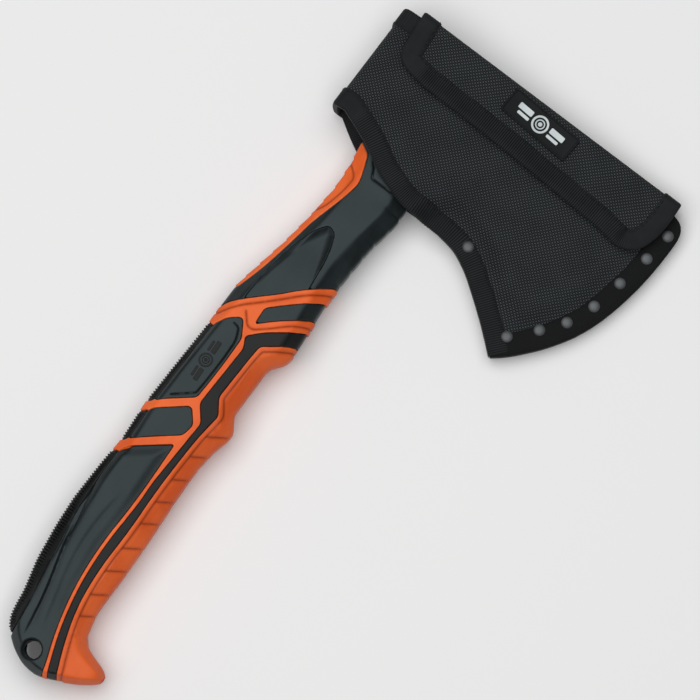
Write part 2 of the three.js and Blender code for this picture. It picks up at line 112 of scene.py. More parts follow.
def wobble(x, y, size, seed):
    """A smooth random field, mostly between -1 and 1, with features of a given size."""
    rng = np.random.default_rng(seed)
    total = np.zeros(np.broadcast(x, y).shape)
    for _ in range(7):
        heading = rng.uniform(0, 2 * math.pi)
        wave = 2 * math.pi / (size * rng.uniform(0.7, 1.8))
        total += np.sin((x * math.cos(heading) + y * math.sin(heading)) * wave + rng.uniform(0, 6.3))
    return total / 4


def eased(outline, sharp=1.0, rounds=3, loop=True):
    """An outline with round corners. Each takes a quarter of its shorter side, and no more than sharp
    millimetres where it turns by over 30 degrees."""
    points = np.array(outline, float)
    for _ in range(rounds):
        before, after = np.roll(points, 1, 0), np.roll(points, -1, 0)
        to_before, to_after = before - points, after - points
        length_before = np.linalg.norm(to_before, axis=1)
        length_after = np.linalg.norm(to_after, axis=1)
        reach = 0.25 * np.minimum(length_before, length_after)
        cosine = -(to_before * to_after).sum(1) / np.maximum(length_before * length_after, 1e-9)
        reach = np.where(cosine < math.cos(math.radians(30)), np.minimum(reach, sharp), reach)
        first = points + to_before / length_before[:, None] * reach[:, None]
        second = points + to_after / length_after[:, None] * reach[:, None]
        cut_points = np.stack([first, second], 1).reshape(-1, 2)
        if not loop:
            cut_points = np.vstack([points[:1], cut_points[2:-2], points[-1:]])
        points = cut_points
    return points


def line_distance(x, y, line, loop=False):
    """Distance to a line, with its side: positive to the left of its direction."""
    points = np.array(line, float)
    ends = np.roll(points, -1, 0) if loop else points[1:]
    starts = points if loop else points[:-1]
    best = np.full(np.shape(x), np.inf)
    side = np.ones(np.shape(x))
    for (ax, ay), (bx, by) in zip(starts, ends):
        dx, dy = bx - ax, by - ay
        length2 = dx * dx + dy * dy
        if length2 < 1e-12:
            continue
        t = np.clip(((x - ax) * dx + (y - ay) * dy) / length2, 0, 1)
        ox, oy = x - ax - t * dx, y - ay - t * dy
        distance = np.hypot(ox, oy)
        closer = distance < best
        side = np.where(closer, np.sign(dx * oy - dy * ox), side)
        best = np.where(closer, distance, best)
    return best * np.where(side == 0, 1, side)


def inside_distance(x, y, outline):
    """Signed distance to a closed outline: negative inside."""
    points = np.array(outline, float)
    distance = np.abs(line_distance(x, y, points, loop=True))
    inside = np.zeros(np.shape(x), bool)
    for (ax, ay), (bx, by) in zip(points, np.roll(points, -1, 0)):
        if ay == by:
            continue
        crosses = (ay > y) != (by > y)
        inside ^= crosses & (x < (bx - ax) * (y - ay) / (by - ay) + ax)
    return np.where(inside, -distance, distance)


def blurred(values, spread, wrap=False):
    """Rows of values smoothed along the first axis."""
    reach = int(math.ceil(spread * 3))
    weights = np.exp(-0.5 * (np.arange(-reach, reach + 1) / spread) ** 2)
    weights /= weights.sum()
    pad = [(reach, reach)] + [(0, 0)] * (values.ndim - 1)
    wide = np.pad(values, pad, mode="wrap" if wrap else "edge")
    return sum(w * wide[i:i + len(values)] for i, w in enumerate(weights))


# ---------------------------------------------------------------- surfaces that are cut along lines
class Surface:
    """Triangles over points, with named values carried at each point."""

    def __init__(self, faces, **values):
        self.faces = faces
        self.values = {name: np.asarray(value, float) for name, value in values.items()}

    def __getitem__(self, name):
        return self.values[name]

    def __setitem__(self, name, value):
        self.values[name] = np.asarray(value, float)

    def cut(self, name, level):
        """Adds points where a value passes a level, so that the level is a clean line of edges."""
        over = self[name] - level
        over = np.where(np.abs(over) < 1e-5, -1e-5, over)
        out = over[self.faces] > 0
        count = out.sum(1)
        mixed = (count == 1) | (count == 2)
        if not mixed.any():
            return self
        faces, out, count = self.faces[mixed], out[mixed], count[mixed]
        row = np.arange(len(faces))
        odd = np.where(count == 1, out.argmax(1), (~out).argmax(1))
        a, b, c = faces[row, odd], faces[row, (odd + 1) % 3], faces[row, (odd + 2) % 3]
        edges = np.sort(np.concatenate([np.stack([a, b], 1), np.stack([a, c], 1)]), 1)
        unique, where = np.unique(edges, axis=0, return_inverse=True)
        where = where.reshape(-1)
        start, end = unique.T
        share = over[start] / (over[start] - over[end])
        old = len(self[name])
        ab, ac = old + where[:len(faces)], old + where[len(faces):]
        for key, value in self.values.items():
            part = share.reshape(-1, *[1] * (value.ndim - 1))
            between = value[start] * (1 - part) + value[end] * part
            if key == name:
                between[:] = level
            self.values[key] = np.concatenate([value, between])
        self.faces = np.concatenate([
            self.faces[~mixed], np.stack([a, ab, ac], 1), np.stack([ab, b, c], 1), np.stack([ab, c, ac], 1),
        ])
        return self

    def keep_below(self, name, level=0.0):
        self.cut(name, level)
        self.faces = self.faces[self[name][self.faces].mean(1) < level]
        used, faces = np.unique(self.faces, return_inverse=True)
        self.faces = faces.reshape(-1, 3)
        self.values = {key: value[used] for key, value in self.values.items()}
        return self


def grid_faces(rows, columns, wrap=False):
    index = np.arange(rows * columns).reshape(rows, columns)
    if wrap:
        index = np.hstack([index, index[:, :1]])
    a, b, c, d = index[:-1, :-1], index[:-1, 1:], index[1:, 1:], index[1:, :-1]
    return np.stack([a, b, c, a, c, d], -1).reshape(-1, 3)


def closed_faces(faces, count):
    """Faces of a skin, its inner copy and the rim between them. The copy's points follow the skin's."""
    edges = np.concatenate([faces[:, [0, 1]], faces[:, [1, 2]], faces[:, [2, 0]]])
    key, back = edges[:, 0] * count + edges[:, 1], edges[:, 1] * count + edges[:, 0]
    a, b = edges[~np.isin(key, back)].T
    rim = np.concatenate([np.stack([b, a, a + count], 1), np.stack([b, a + count, b + count], 1)])
    return np.concatenate([faces, faces[:, ::-1] + count, rim])


def outward(points, faces):
    a, b, c = points[faces].swapaxes(0, 1)
    return faces if (a * np.cross(b, c)).sum() > 0 else faces[:, ::-1]


def grid_normals(points):
    """Unit normals of a grid of points, rows by columns, whose last column is next to its first."""
    across = np.roll(points, -1, 1) - np.roll(points, 1, 1)
    normal = np.cross(np.gradient(points, axis=0), across)
    return normal / np.maximum(np.linalg.norm(normal, axis=2, keepdims=True), 1e-9)


def ringed(rings, ends=None, loop=False):
    """Points and faces of a stack of closed rings, given as rings by points by 3.

    Each end is closed by a fan, from its ring's first point or from a given point. In a loop the
    last ring is joined to the first instead."""
    count, around, _ = rings.shape
    points, faces = rings.reshape(-1, 3), grid_faces(count, around, wrap=True)
    last = (count - 1) * around
    if loop:
        bridge = grid_faces(2, around, wrap=True)
        return points, np.concatenate([faces, np.where(bridge >= around, bridge - around, bridge + last)])
    i, j = np.arange(around), (np.arange(around) + 1) % around
    if ends is None:
        start, end, i, j = 0, last, i[1:-1], j[1:-1]
    else:
        start, end = len(points), len(points) + 1
        points = np.vstack([points, ends])
    fans = [np.stack([start + 0 * i, j, i], 1), np.stack([end + 0 * i, last + i, last + j], 1)]
    return points, np.concatenate([faces, *fans])


def turned(profile, count, loop=False):
    """A profile of radii and heights turned about the z axis. Without loop, its ends are on the axis."""
    profile = np.array(profile, float)
    angle = np.arange(count) * 2 * math.pi / count
    radius, height = np.hsplit(profile if loop else profile[1:-1], 2)
    rings = np.stack([radius * np.cos(angle), radius * np.sin(angle), np.repeat(height, count, 1)], -1)
    return ringed(rings, None if loop else [[0, 0, profile[0][1]], [0, 0, profile[-1][1]]], loop)


def joined(parts):
    """The points and faces of closed parts as one mesh, with every part's faces outward."""
    points, faces, first = [], [], 0
    for part_points, part_faces in parts:
        points.append(part_points)
        faces.append(outward(part_points, part_faces) + first)
        first += len(part_points)
    return np.vstack(points), np.concatenate(faces)


# ---------------------------------------------------------------- making Blender pieces
def make(name, points, faces, slot, body=None, stands_for=(), sharp=40, **values):
    """A mesh piece from points in the axe's frame. Values become point attributes for its material.

    edge is the distance in from a border, near which the colour is lighter from wear and a painted
    highlight, and is a large one where it isn't given."""
    mesh = bpy.data.meshes.new(name)
    faces = outward(points, np.asarray(faces))
    mesh.from_pydata(placed(points).tolist(), [], faces.tolist())
    mesh.validate()
    for key, value in {"at": points, "edge": np.full(len(points), 3.0), **values}.items():
        value = np.asarray(value, np.float32)
        if value.ndim == 1:
            mesh.attributes.new(key, "FLOAT", "POINT").data.foreach_set("value", value)
        else:
            whole = np.zeros((len(value), 3), np.float32)
            whole[:, :value.shape[1]] = value
            mesh.attributes.new(key, "FLOAT_VECTOR", "POINT").data.foreach_set("vector", whole.ravel())
    mesh.shade_smooth()
    mesh.set_sharp_from_angle(angle=math.radians(sharp))
    mesh.materials.append(MATERIALS[slot])
    piece = bpy.data.objects.new(name, mesh)
    bpy.context.scene.collection.objects.link(piece)
    if stands_for:
        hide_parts(*stands_for)
    if body:
        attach(piece, body)
    return piece


def make_closed(name, skin, inner, slot, body=None, stands_for=(), **values):
    """A closed piece from an outer skin and the inner copy of its points."""
    both = {key: np.concatenate([value, value]) for key, value in values.items()}
    points = np.concatenate([skin["at"], inner])
    return make(name, points, closed_faces(skin.faces, len(inner)), slot, body, stands_for, **both)


def flat_area(points, faces):
    """Area in square metres of faces laid out in the plane, in millimetres."""
    a, b, c = points[faces[:, 0]], points[faces[:, 1]], points[faces[:, 2]]
    cross = (b[:, 0] - a[:, 0]) * (c[:, 1] - a[:, 1]) - (b[:, 1] - a[:, 1]) * (c[:, 0] - a[:, 0])
    return float(np.abs(cross).sum() / 2e6)


# ---------------------------------------------------------------- materials
MIX_LOW, MIX_HIGH, MIX_RESULT = 6, 7, 2     # places of the colour sockets on a mix node


def add_node(tree, kind, inputs, **settings):
    """A new shader node. inputs are numbers, sockets or fields, by the input's name or place."""
    node = tree.nodes.new("ShaderNode" + kind)
    for key, value in settings.items():
        setattr(node, key, value)
    for key, value in inputs.items():
        value = value.socket if isinstance(value, Field) else value
        if isinstance(value, bpy.types.NodeSocket):
            tree.links.new(value, node.inputs[key])
        else:
            node.inputs[key].default_value = value
    return node


class Field:
    """A number that varies over a surface, as a socket in a material's node tree."""

    def __init__(self, tree, socket):
        self.tree, self.socket = tree, socket

    def math(self, operation, *others):
        node = add_node(self.tree, "Math", dict(enumerate([self, *others])), operation=operation)
        return Field(self.tree, node.outputs[0])

    def __add__(self, other):
        return self.math("ADD", other)

    def __sub__(self, other):
        return self.math("SUBTRACT", other)

    def __mul__(self, other):
        return self.math("MULTIPLY", other)

    def between(self, low, high):
        """0 at low, 1 at high, smooth and clamped."""
        inputs = {"Value": self, "From Min": low, "From Max": high}
        node = add_node(self.tree, "MapRange", inputs, interpolation_type="SMOOTHSTEP")
        return Field(self.tree, node.outputs["Result"])


class Finish:
    """A material under construction: its Principled shader and the fields that feed it."""

    def __init__(self, name, carried=False, **sockets):
        self.carried = carried        # for a CAD node, which has no attributes of its own
        self.material = bpy.data.materials.new(name)
        self.material.use_nodes = True
        self.tree = self.material.node_tree
        self.shader = self.tree.nodes["Principled BSDF"]
        for key, value in sockets.items():
            self.shader.inputs[key.replace("_", " ")].default_value = value

    def attribute(self, name):
        if self.carried and name == "at":
            place = add_node(self.tree, "TexCoord", {}).outputs["Object"]
            return add_node(self.tree, "Mapping", {"Scale": (1000, 1000, 1000), "Vector": place})
        return add_node(self.tree, "Attribute", {}, attribute_name=name)

    def value(self, name):
        return Field(self.tree, self.attribute(name).outputs["Fac"])

    def axes(self, name):
        node = add_node(self.tree, "SeparateXYZ", {})
        self.tree.links.new(self.attribute(name).outputs["Vector"], node.inputs[0])
        return [Field(self.tree, socket) for socket in node.outputs]

    def noise(self, scale, detail=2.0, stretch=(1, 1, 1), name="at"):
        """Noise over an attribute in millimetres, with scale features to the millimetre."""
        place = add_node(self.tree, "Mapping", {"Scale": stretch})
        self.tree.links.new(self.attribute(name).outputs["Vector"], place.inputs["Vector"])
        inputs = {"Scale": scale, "Detail": detail, "Vector": place.outputs[0]}
        return Field(self.tree, add_node(self.tree, "TexNoise", inputs).outputs["Fac"])

    def colours(self, field, low, high, crease=None, crease_colour=None):
        """Blends two colours by a field, and a third over them where shade is painted."""
        colour = self.mixed(field, low, high)
        if crease:
            colour = self.mixed(crease, colour, crease_colour)
        self.tree.links.new(colour, self.shader.inputs["Base Color"])

    def mixed(self, field, low, high):
        """A blend of two colours by a field, each a tuple or another blend."""
        low, high = ((*colour, 1) if isinstance(colour, tuple) else colour for colour in (low, high))
        node = add_node(self.tree, "Mix", {0: field, MIX_LOW: low, MIX_HIGH: high}, data_type="RGBA")
        return node.outputs[MIX_RESULT]

    def feed(self, socket, field):
        self.tree.links.new(field.socket, self.shader.inputs[socket])

    def bump(self, field, depth):
        """Bumps whose full height is depth, in millimetres."""
        node = add_node(self.tree, "Bump", {"Strength": 1.0, "Distance": depth / 1000, "Height": field})
        self.tree.links.new(node.outputs[0], self.shader.inputs["Normal"])


def shaded(colour, share):
    return tuple(min(1.0, c * share) for c in colour)


def moulded(name, colour, roughness, worn_and_highlit, grain=0.025, carried=False, specular=0.3, tint=(1, 1, 1)):
    """Moulded plastic or soft over-mould: grain, flow marks, scuffs, borders lighter from wear and a painted
    highlight, and painted shade in grooves and hollows.
    """
    finish = Finish(name, carried, Specular_IOR_Level=specular, Specular_Tint=(*tint, 1))
    grains = finish.noise(3.2, 3)
    flow = finish.noise(0.045, 3, (1, 1.6, 1))
    scuff = finish.noise(0.5, 4, (0.08, 1.6, 1)).between(0.62, 0.8)
    tone = flow.between(0.3, 0.7) * 0.55 + grains * 0.15 + scuff * 0.12
    crease = None
    if not carried:
        # Lighter near the borders: rubbed wear, and in part a painted highlight on the moulded lips.
        tone = tone + finish.value("edge").between(0.9, 0.0) * finish.noise(0.35, 3).between(0.35, 0.7) * 0.6
        crease = finish.value("crease")
    # The third colour, at 0.3 of the base, is painted shade, laid where the relief gives it: in grooves,
    # hollows and between teeth.
    finish.colours(tone, shaded(colour, 0.82), worn_and_highlit, crease, shaded(colour, 0.3))
    finish.feed("Roughness", grains * 0.10 + flow * 0.14 + scuff * 0.08 + (roughness - 0.12))
    finish.bump(grains + scuff * -0.4, grain)
    return finish.material


def crown(field):
    """Height across a thread whose width is 1: 0 at its sides and 1 on top."""
    part = field.math("FRACT") * 2 - 1
    return (part * part) * -1 + 1


def woven(name, thread, dark, light, depth, roughness, weft_share=0.4, fuzz=0.18):
    """Plain weave of a real thread width, over the cloth's own coordinates in millimetres. Thread crowns get
    a painted highlight, and the gaps between them painted shade.
    """
    finish = Finish(name, Sheen_Weight=0.03, Sheen_Roughness=0.4, Specular_IOR_Level=0.07)
    across, along, _ = finish.axes("cloth")
    drift = finish.noise(0.12, 2, name="cloth") * 0.8
    u, v = across * (1 / thread) + drift, along * (1 / thread) + drift
    over = (u.math("FLOOR") + v.math("FLOOR")).math("MODULO", 2.0).math("ABSOLUTE")
    under = over * -1 + 1
    long_u, long_v = crown(u), crown(v)
    warp = long_u * (long_v.math("POWER", 0.5) * over)
    weft = long_v * (long_u.math("POWER", 0.5) * under)
    fibres = finish.noise(5.5, 2, name="cloth")
    mottle = finish.noise(0.06, 3, name="cloth")
    height = warp + weft + fibres * fuzz
    # Painted highlight and shade: lighter on thread crowns, darker in the gaps, and warp crowns lighter than
    # weft crowns by weft_share.
    tone = (warp + weft * weft_share + fibres * 0.12).between(0.08, 0.85) * (mottle * 0.7 + 0.62)
    finish.colours(tone, dark, light)
    finish.feed("Roughness", fibres * 0.16 + mottle * 0.10 + (roughness - 0.12))
    finish.bump(height, depth)
    return finish.material


def ribbed(name, dark, light, roughness):
    """Grosgrain: the ribs are in the mesh, and the threads across them are here. Rib and thread crowns get a
    painted highlight, the hollows painted shade.
    """
    finish = Finish(name, Sheen_Weight=0.03, Sheen_Roughness=0.45, Specular_IOR_Level=0.07)
    _, along, _ = finish.axes("cloth")
    rib = finish.value("rib")
    threads = crown(along * 2.6)
    fibres = finish.noise(4.5, 2, name="cloth")
    mottle = finish.noise(0.08, 3, name="cloth")
    # Painted highlight on rib and thread crowns, painted shade in the hollows between ribs.
    tone = (rib * 0.8 + threads * 0.15 + fibres * 0.15) * (mottle * 0.6 + 0.65)
    finish.colours(tone.between(0.05, 0.95), dark, light)
    finish.feed("Roughness", fibres * 0.14 + (roughness - 0.07))
    finish.bump(threads * 0.7 + fibres * 0.3, 0.05)
    return finish.material


def metal(name, colour, roughness, grain, brushed=(1, 1, 1), metallic=1.0, carried=False):
    finish = Finish(name, carried, Metallic=metallic)
    lines = finish.noise(grain, 4, brushed)
    stains = finish.noise(0.09, 4)
    tone = lines * 0.35 + stains.between(0.3, 0.75) * 0.65
    finish.colours(tone, shaded(colour, 0.72), shaded(colour, 1.22))
    finish.feed("Roughness", lines * 0.16 + stains * 0.16 + (roughness - 0.16))
    finish.bump(lines, 0.012)
    return finish.material


def hooked(name, dark, light):
    """Hook-and-loop tape: a dense field of small tufts."""
    finish = Finish(name, Sheen_Weight=0.15, Sheen_Roughness=0.5, Roughness=0.85, Specular_IOR_Level=0.1)
    tufts = finish.noise(1.7, 3, name="cloth")
    finish.colours(tufts.between(0.35, 0.7), dark, light)
    finish.bump(tufts, 0.5)
    return finish.material


INK = (0.0022, 0.0024, 0.0027)
# The lighter nylon colour: wear, and near a grip piece's borders a painted highlight.
NYLON, NYLON_WORN_AND_HIGHLIT = (0.008, 0.009, 0.010), (0.02, 0.022, 0.024)
MATERIALS = {
    "core_nylon": moulded("core_nylon", NYLON, 0.5, NYLON_WORN_AND_HIGHLIT),
    "orange_grip": moulded("orange_grip", (0.86, 0.112, 0.013), 0.5, (0.93, 0.175, 0.04), specular=0.2),
    "black_grip": moulded("black_grip", (0.0035, 0.0038, 0.0042), 0.5, (0.012, 0.013, 0.014), specular=0.2),
    "charcoal_grip": moulded(
        "charcoal_grip", (0.0075, 0.0105, 0.0115), 0.40, (0.019, 0.025, 0.028), specular=0.28,
        tint=(0.80, 0.98, 1.0),
    ),
    # For these cloths the lighter colour is the painted highlight on thread and rib crowns, and INK is both
    # the cloth's black and the painted shade between them.
    "ballistic_nylon": woven("ballistic_nylon", 1.0, INK, (0.062, 0.070, 0.074), 0.22, 0.62),
    "grosgrain": ribbed("grosgrain", INK, (0.024, 0.026, 0.028), 0.6),
    "hem_tape": woven("hem_tape", 0.42, INK, (0.013, 0.0135, 0.014), 0.06, 0.62, weft_share=1.0),
    "welt": moulded("welt", (0.006, 0.006, 0.007), 0.65, (0.015, 0.015, 0.016), specular=0.1),
    "hook_and_loop": hooked("hook_and_loop", (0.003, 0.003, 0.003), (0.02, 0.02, 0.021)),
    "label_rubber": moulded(
        "label_rubber", (0.0045, 0.0055, 0.006), 0.5, (0.011, 0.013, 0.014), specular=0.1,
    ),
    "emblem_grey": moulded("emblem_grey", (0.56, 0.63, 0.64), 0.45, (0.74, 0.8, 0.8), specular=0.2),
    "stitching": moulded("stitching", (0.005, 0.0055, 0.006), 0.55, (0.02, 0.02, 0.022), 0.01, specular=0.1),
    "rivet_grey": metal("rivet_grey", (0.085, 0.092, 0.097), 0.48, 1.6, metallic=0.25),
}
# For the CAD nodes whose shape stays.
CARRIED = {
    "axe_head": metal("steel_head", (0.30, 0.31, 0.32), 0.40, 2.2, (1, 0.05, 1), carried=True),
    "top_wedge": moulded("nylon_core", NYLON, 0.5, NYLON_WORN_AND_HIGHLIT, carried=True),
    "eye_sleeve": moulded("bedding_resin", (0.05, 0.05, 0.04), 0.5, (0.09, 0.09, 0.07), carried=True),
}

# ---------------------------------------------------------------- handle: the form
# Spine and belly of the handle in plan: x, y, and the width of the bevel beside it.
SPINE = [
    (306, 18, 6), (295, 16.2, 7), (279, 16, 7), (259, 18.6, 7), (241, 22.1, 7), (224, 26.4, 7),
    (210, 29.9, 7), (198, 30.6, 6), (184, 30.9, 5), (160, 33, 5), (136, 34.8, 5.5), (114, 34.4, 6),
    (99, 36.3, 7), (77, 37.9, 8), (60, 37.5, 8), (42, 36, 7), (24, 32.5, 6),
]
BELLY = [
    (306, -20, 9), (279, -19.8, 9), (262, -15.9, 9), (243, -14, 9), (228, -12.8, 8), (208, -13.4, 7),
    (197, -13.6, 7), (190.5, -12.4, 7), (186.7, -7.9, 7), (183.9, -6.3, 7), (155, -4.9, 7),
    (148.1, -9.5, 7), (145.2, -10.2, 7), (136, -7, 7), (123, -4.8, 7), (104, -4.4, 7), (80, -4.7, 8),
    (58, -4.3, 8), (36, -3.2, 7), (24, -5.3, 6),
]
# Round the butt and down the hook: a spine point, the belly point facing it, bevel and half thickness.
BUTT = [
    ((24, 32.5), (24, -5.3), 6, 12.7), ((17, 32.1), (22.6, -6.1), 5.5, 12.6),
    ((10, 30.9), (21.4, -7), 5, 12.5),
    ((3.5, 26.5), (20.3, -7.9), 5, 12.3), ((-1.8, 20.2), (19.3, -8.8), 5, 12.1),
    ((-5.6, 13), (18.6, -9.6), 4.6, 11.9), ((-6.8, 4.5), (18, -10.6), 4.5, 11.8),
    ((-4.6, -2), (17.4, -11.9), 4.3, 11.8), ((-1.6, -8.6), (16.2, -14.8), 3.8, 11.7),
    ((1.4, -15.1), (15, -18.2), 3.4, 11.4), ((4.6, -20), (13.9, -20.9), 3.2, 10.6),
    ((6.3, -22.6), (12.9, -23), 2.6, 8.6), ((7.6, -24.1), (11.6, -24.4), 1.6, 5.6),
    ((9, -24.9), (10.2, -25), 0.5, 2.2),
]
SWELL = [
    (-10, 11.4), (20, 12.5), (70, 13.6), (110, 13.2), (150, 12.5), (200, 12.8), (240, 12.2), (268, 11),
    (286, 9.3), (306, 9.1),
]
EDGE = 0.45                   # share of the half thickness where the bevel meets the edge
WIDEST_BEVEL, CROWN = 0.42, 0.02      # shares of the width and of the height
ROW_STEP = 0.5                # spacing of the rows of the master grid
COLUMNS = 240                 # points round a section
ROW_BLUR = 2.6 / ROW_STEP * 0.75      # smoothing along the handle, in rows
COLUMN_BLUR = 2.3             # and round it, in columns
CORNERS = [0, 5, 15, 41, 51, 56, 61, 71, 97, 107]     # of a section: how far round, out of 112


def table(rows, at, column=1):
    rows = sorted(rows)
    return np.interp(at, [row[0] for row in rows], [row[column] for row in rows])


def handle_rows():
    """Spine points, belly points, their bevels and the half thickness, row by row."""
    x = np.arange(SHOULDER_X, 24, -ROW_STEP)
    straight = np.stack([
        x, table(SPINE, x), x, table(BELLY, x), table(SPINE, x, 2), table(BELLY, x, 2), table(SWELL, x),
    ], 1)
    butt = np.array([(*spine, *belly, bevel, bevel, half) for spine, belly, bevel, half in BUTT])
    steps = np.maximum(
        np.hypot(*np.diff(butt[:, 0:2], axis=0).T), np.hypot(*np.diff(butt[:, 2:4], axis=0).T)
    )
    path = np.concatenate([[0], np.cumsum(steps)])
    at = np.arange(0, path[-1], ROW_STEP)
    round_butt = np.stack([np.interp(at, path, butt[:, i]) for i in range(7)], 1)
    return blurred(np.vstack([straight, round_butt]), ROW_BLUR)


def handle_form():
    """The handle's surface as a grid of points, its normals, and each row's distance along the spine."""
    spine_x, spine_y, belly_x, belly_y, spine_bevel, belly_bevel, half = handle_rows().T
    width = np.hypot(belly_x - spine_x, belly_y - spine_y)
    near = np.minimum(spine_bevel, width * WIDEST_BEVEL)
    far = width - np.minimum(belly_bevel, width * WIDEST_BEVEL)
    none = np.zeros_like(width)
    across = np.stack([none, none, near, far, width, width, width, far, near, none], 1)
    up = np.stack([none, EDGE * half, half, half, EDGE * half, none], 1)
    height = np.hstack([up, -up[:, 4:0:-1]])
    # How much of the way round each corner of the section stands.
    corner_at = np.array(CORNERS) / 112 * COLUMNS
    column = np.arange(COLUMNS)
    share = np.stack([
        np.interp(column, np.append(corner_at, COLUMNS), np.append(one, one[0]))
        for one in np.eye(len(CORNERS))
    ])
    across, height = across @ share, height @ share
    inner = across / np.maximum(width[:, None], 1e-6)
    height = height * (1 + CROWN * (1 - (2 * inner - 1) ** 2))
    across, height = (blurred(v.T, COLUMN_BLUR, wrap=True).T for v in (across, height))
    to_belly = np.stack([belly_x - spine_x, belly_y - spine_y], 1) / np.maximum(width[:, None], 1e-6)
    points = np.stack([
        spine_x[:, None] + to_belly[:, :1] * across, spine_y[:, None] + to_belly[:, 1:] * across, height,
    ], 2)
    normals = grid_normals(points)
    centre = points.mean(1, keepdims=True)
    if ((points - centre) * normals).sum() < 0:
        normals = -normals
    spine_step = np.hypot(np.gradient(spine_x), np.gradient(spine_y))
    return points, normals, np.cumsum(spine_step)


FORM, FORM_NORMALS, FORM_RUN = handle_form()


def form_patch(x_low, x_high, row_step, column_step, spine_only=None):
    """A piece of the handle's surface over a range of x, as a Surface with position, normal and run."""
    wanted = np.flatnonzero((FORM[:, :, 0].max(1) > x_low) & (FORM[:, :, 0].min(1) < x_high))
    rows = np.arange(wanted[0], wanted[-1] + 1e-6, row_step / ROW_STEP)
    low = np.minimum(rows.astype(int), len(FORM) - 2)
    part = (rows - low)[:, None, None]
    if spine_only:
        columns = np.arange(-spine_only, spine_only + 1, column_step) % COLUMNS
    else:
        columns = np.arange(0, COLUMNS, column_step)
    at = FORM[low][:, columns] * (1 - part) + FORM[low + 1][:, columns] * part
    normal = FORM_NORMALS[low][:, columns] * (1 - part) + FORM_NORMALS[low + 1][:, columns] * part
    run = np.interp(rows, np.arange(len(FORM)), FORM_RUN)
    run = np.repeat(run[:, None], len(columns), 1)
    round_about = np.repeat(np.where(columns > COLUMNS / 2, columns - COLUMNS, columns)[None], len(rows), 0)
    faces = grid_faces(len(rows), len(columns), wrap=not spine_only)
    return Surface(
        faces, at=at.reshape(-1, 3), normal=normal.reshape(-1, 3), run=run.ravel(),
        column=round_about.ravel(), belly=COLUMNS / 2 - np.abs(round_about.ravel()),
    )


# ---------------------------------------------------------------- handle: its pieces in plan
REGION = {
    "upper_shaft": [
        (195.6, 40), (195.9, 30.6), (200.5, 28.3), (208.6, 19.4), (218.2, 8.1), (224.3, 2.1),
        (232.1, -7.9), (235.6, -12.6), (237, -30), (320, -40), (320, 40),
    ],
    "spine_insert": [
        (209, 40), (209.2, 29.3), (224, 23.9), (241, 19.7), (258, 16), (266.8, 12.8), (280, 8.3),
        (286, 6.9), (291, 8.1), (301, 11.8), (305.4, 18), (306, 40),
    ],
    "thumb_pad": [
        (206, 22.6), (218.6, 21.7), (231.5, 20.2), (247.4, 15.9), (256, 11), (260.3, 7), (258.2, 2.7),
        (251, 0.3), (244.6, -0.9), (235, -1.6), (226, -1.9), (200, 0),
    ],
    "waist_inlay": [
        (207.9, 10.9), (218.3, -1.1), (227.1, -12.9), (228.5, -22), (214.5, -22), (216, -12.7),
        (206.2, 1.8), (198.2, 10.8),
    ],
    "badge_plate": [
        (187.6, 28.2), (193.2, 24.3), (197.3, 18.6), (197.1, 16.6), (188.6, 12), (169.3, 12.6),
        (152.1, 14.2), (142.8, 27), (139.4, 31),
    ],
    "upper_spine_strip": [
        (136.9, 40), (137, 34.4), (139.4, 31.4), (163, 29.9), (187.2, 28.6), (188.2, 40),
    ],
    "hex_plate": [
        (134.4, 31.1), (146.3, 15), (146.1, 13.1), (139.4, 8), (132.5, 9.5), (124, 21.2), (116.3, 31.2),
    ],
    "middle_spine_strip": [
        (131.4, 40), (131.5, 34.2), (134, 31.5), (116, 31.6), (113.8, 34.3), (113.6, 40),
    ],
    "palm_plate": [
        (108.9, 32.2), (83.4, 33.3), (62.3, 31.7), (41.1, 29.1), (18.1, 26.2), (4.8, 25.6), (-12, 25),
        (-14, 0), (-1.8, 1.9), (17.2, 7.8), (39.3, 12), (63.7, 13), (93.1, 10.5), (126.6, 10.2),
        (113.1, 29.1),
    ],
    "lower_spine_strip": [
        (107.4, 42), (107.6, 34.9), (108.9, 32.6), (83.4, 33.7), (62.3, 32.1), (41.1, 29.5),
        (18.1, 26.6), (4.8, 26), (-2, 29), (8, 42),
    ],
    "zigzag_band": [
        (190.8, 11.3), (185.1, 8.5), (150.6, 11.4), (142.2, 5.2), (104, 8.7), (93.1, 8.6),
        (63.7, 11.1), (39.3, 10.1), (17.2, 5.9), (-1.2, 0), (-12, -4), (-12, -9), (-1.1, -4.9),
        (13.5, 0.5), (32.3, 5.4), (54.4, 6.8), (77.6, 5), (104.1, 4.9), (135.4, 2.6), (150.2, 0),
        (158.2, 5.2), (183.6, 3.1), (190.5, 2.2), (200.3, -13.1), (201, -22), (209.4, -22),
        (209.3, -13.4), (197.5, 4.4),
    ],
}
# The belly grip lies below the zigzag band; the rest of the orange is the net above it.
BAND_LOW_RIM = REGION["zigzag_band"][11:24]
REGION["below_band"] = [*BAND_LOW_RIM, (201, -40), (-30, -40), (-30, -12)]
OUTLINES = {name: eased(outline) for name, outline in REGION.items()}
NOT_ORANGE = [
    "upper_shaft", "waist_inlay", "badge_plate", "upper_spine_strip", "hex_plate",
    "middle_spine_strip", "palm_plate", "lower_spine_strip", "zigzag_band",
]
# The free rim of the thumb's hollow, and the palm plate's lower border.
THUMB_RIM, PALM_LOW_RIM = REGION["thumb_pad"][:11], REGION["palm_plate"][8:15]
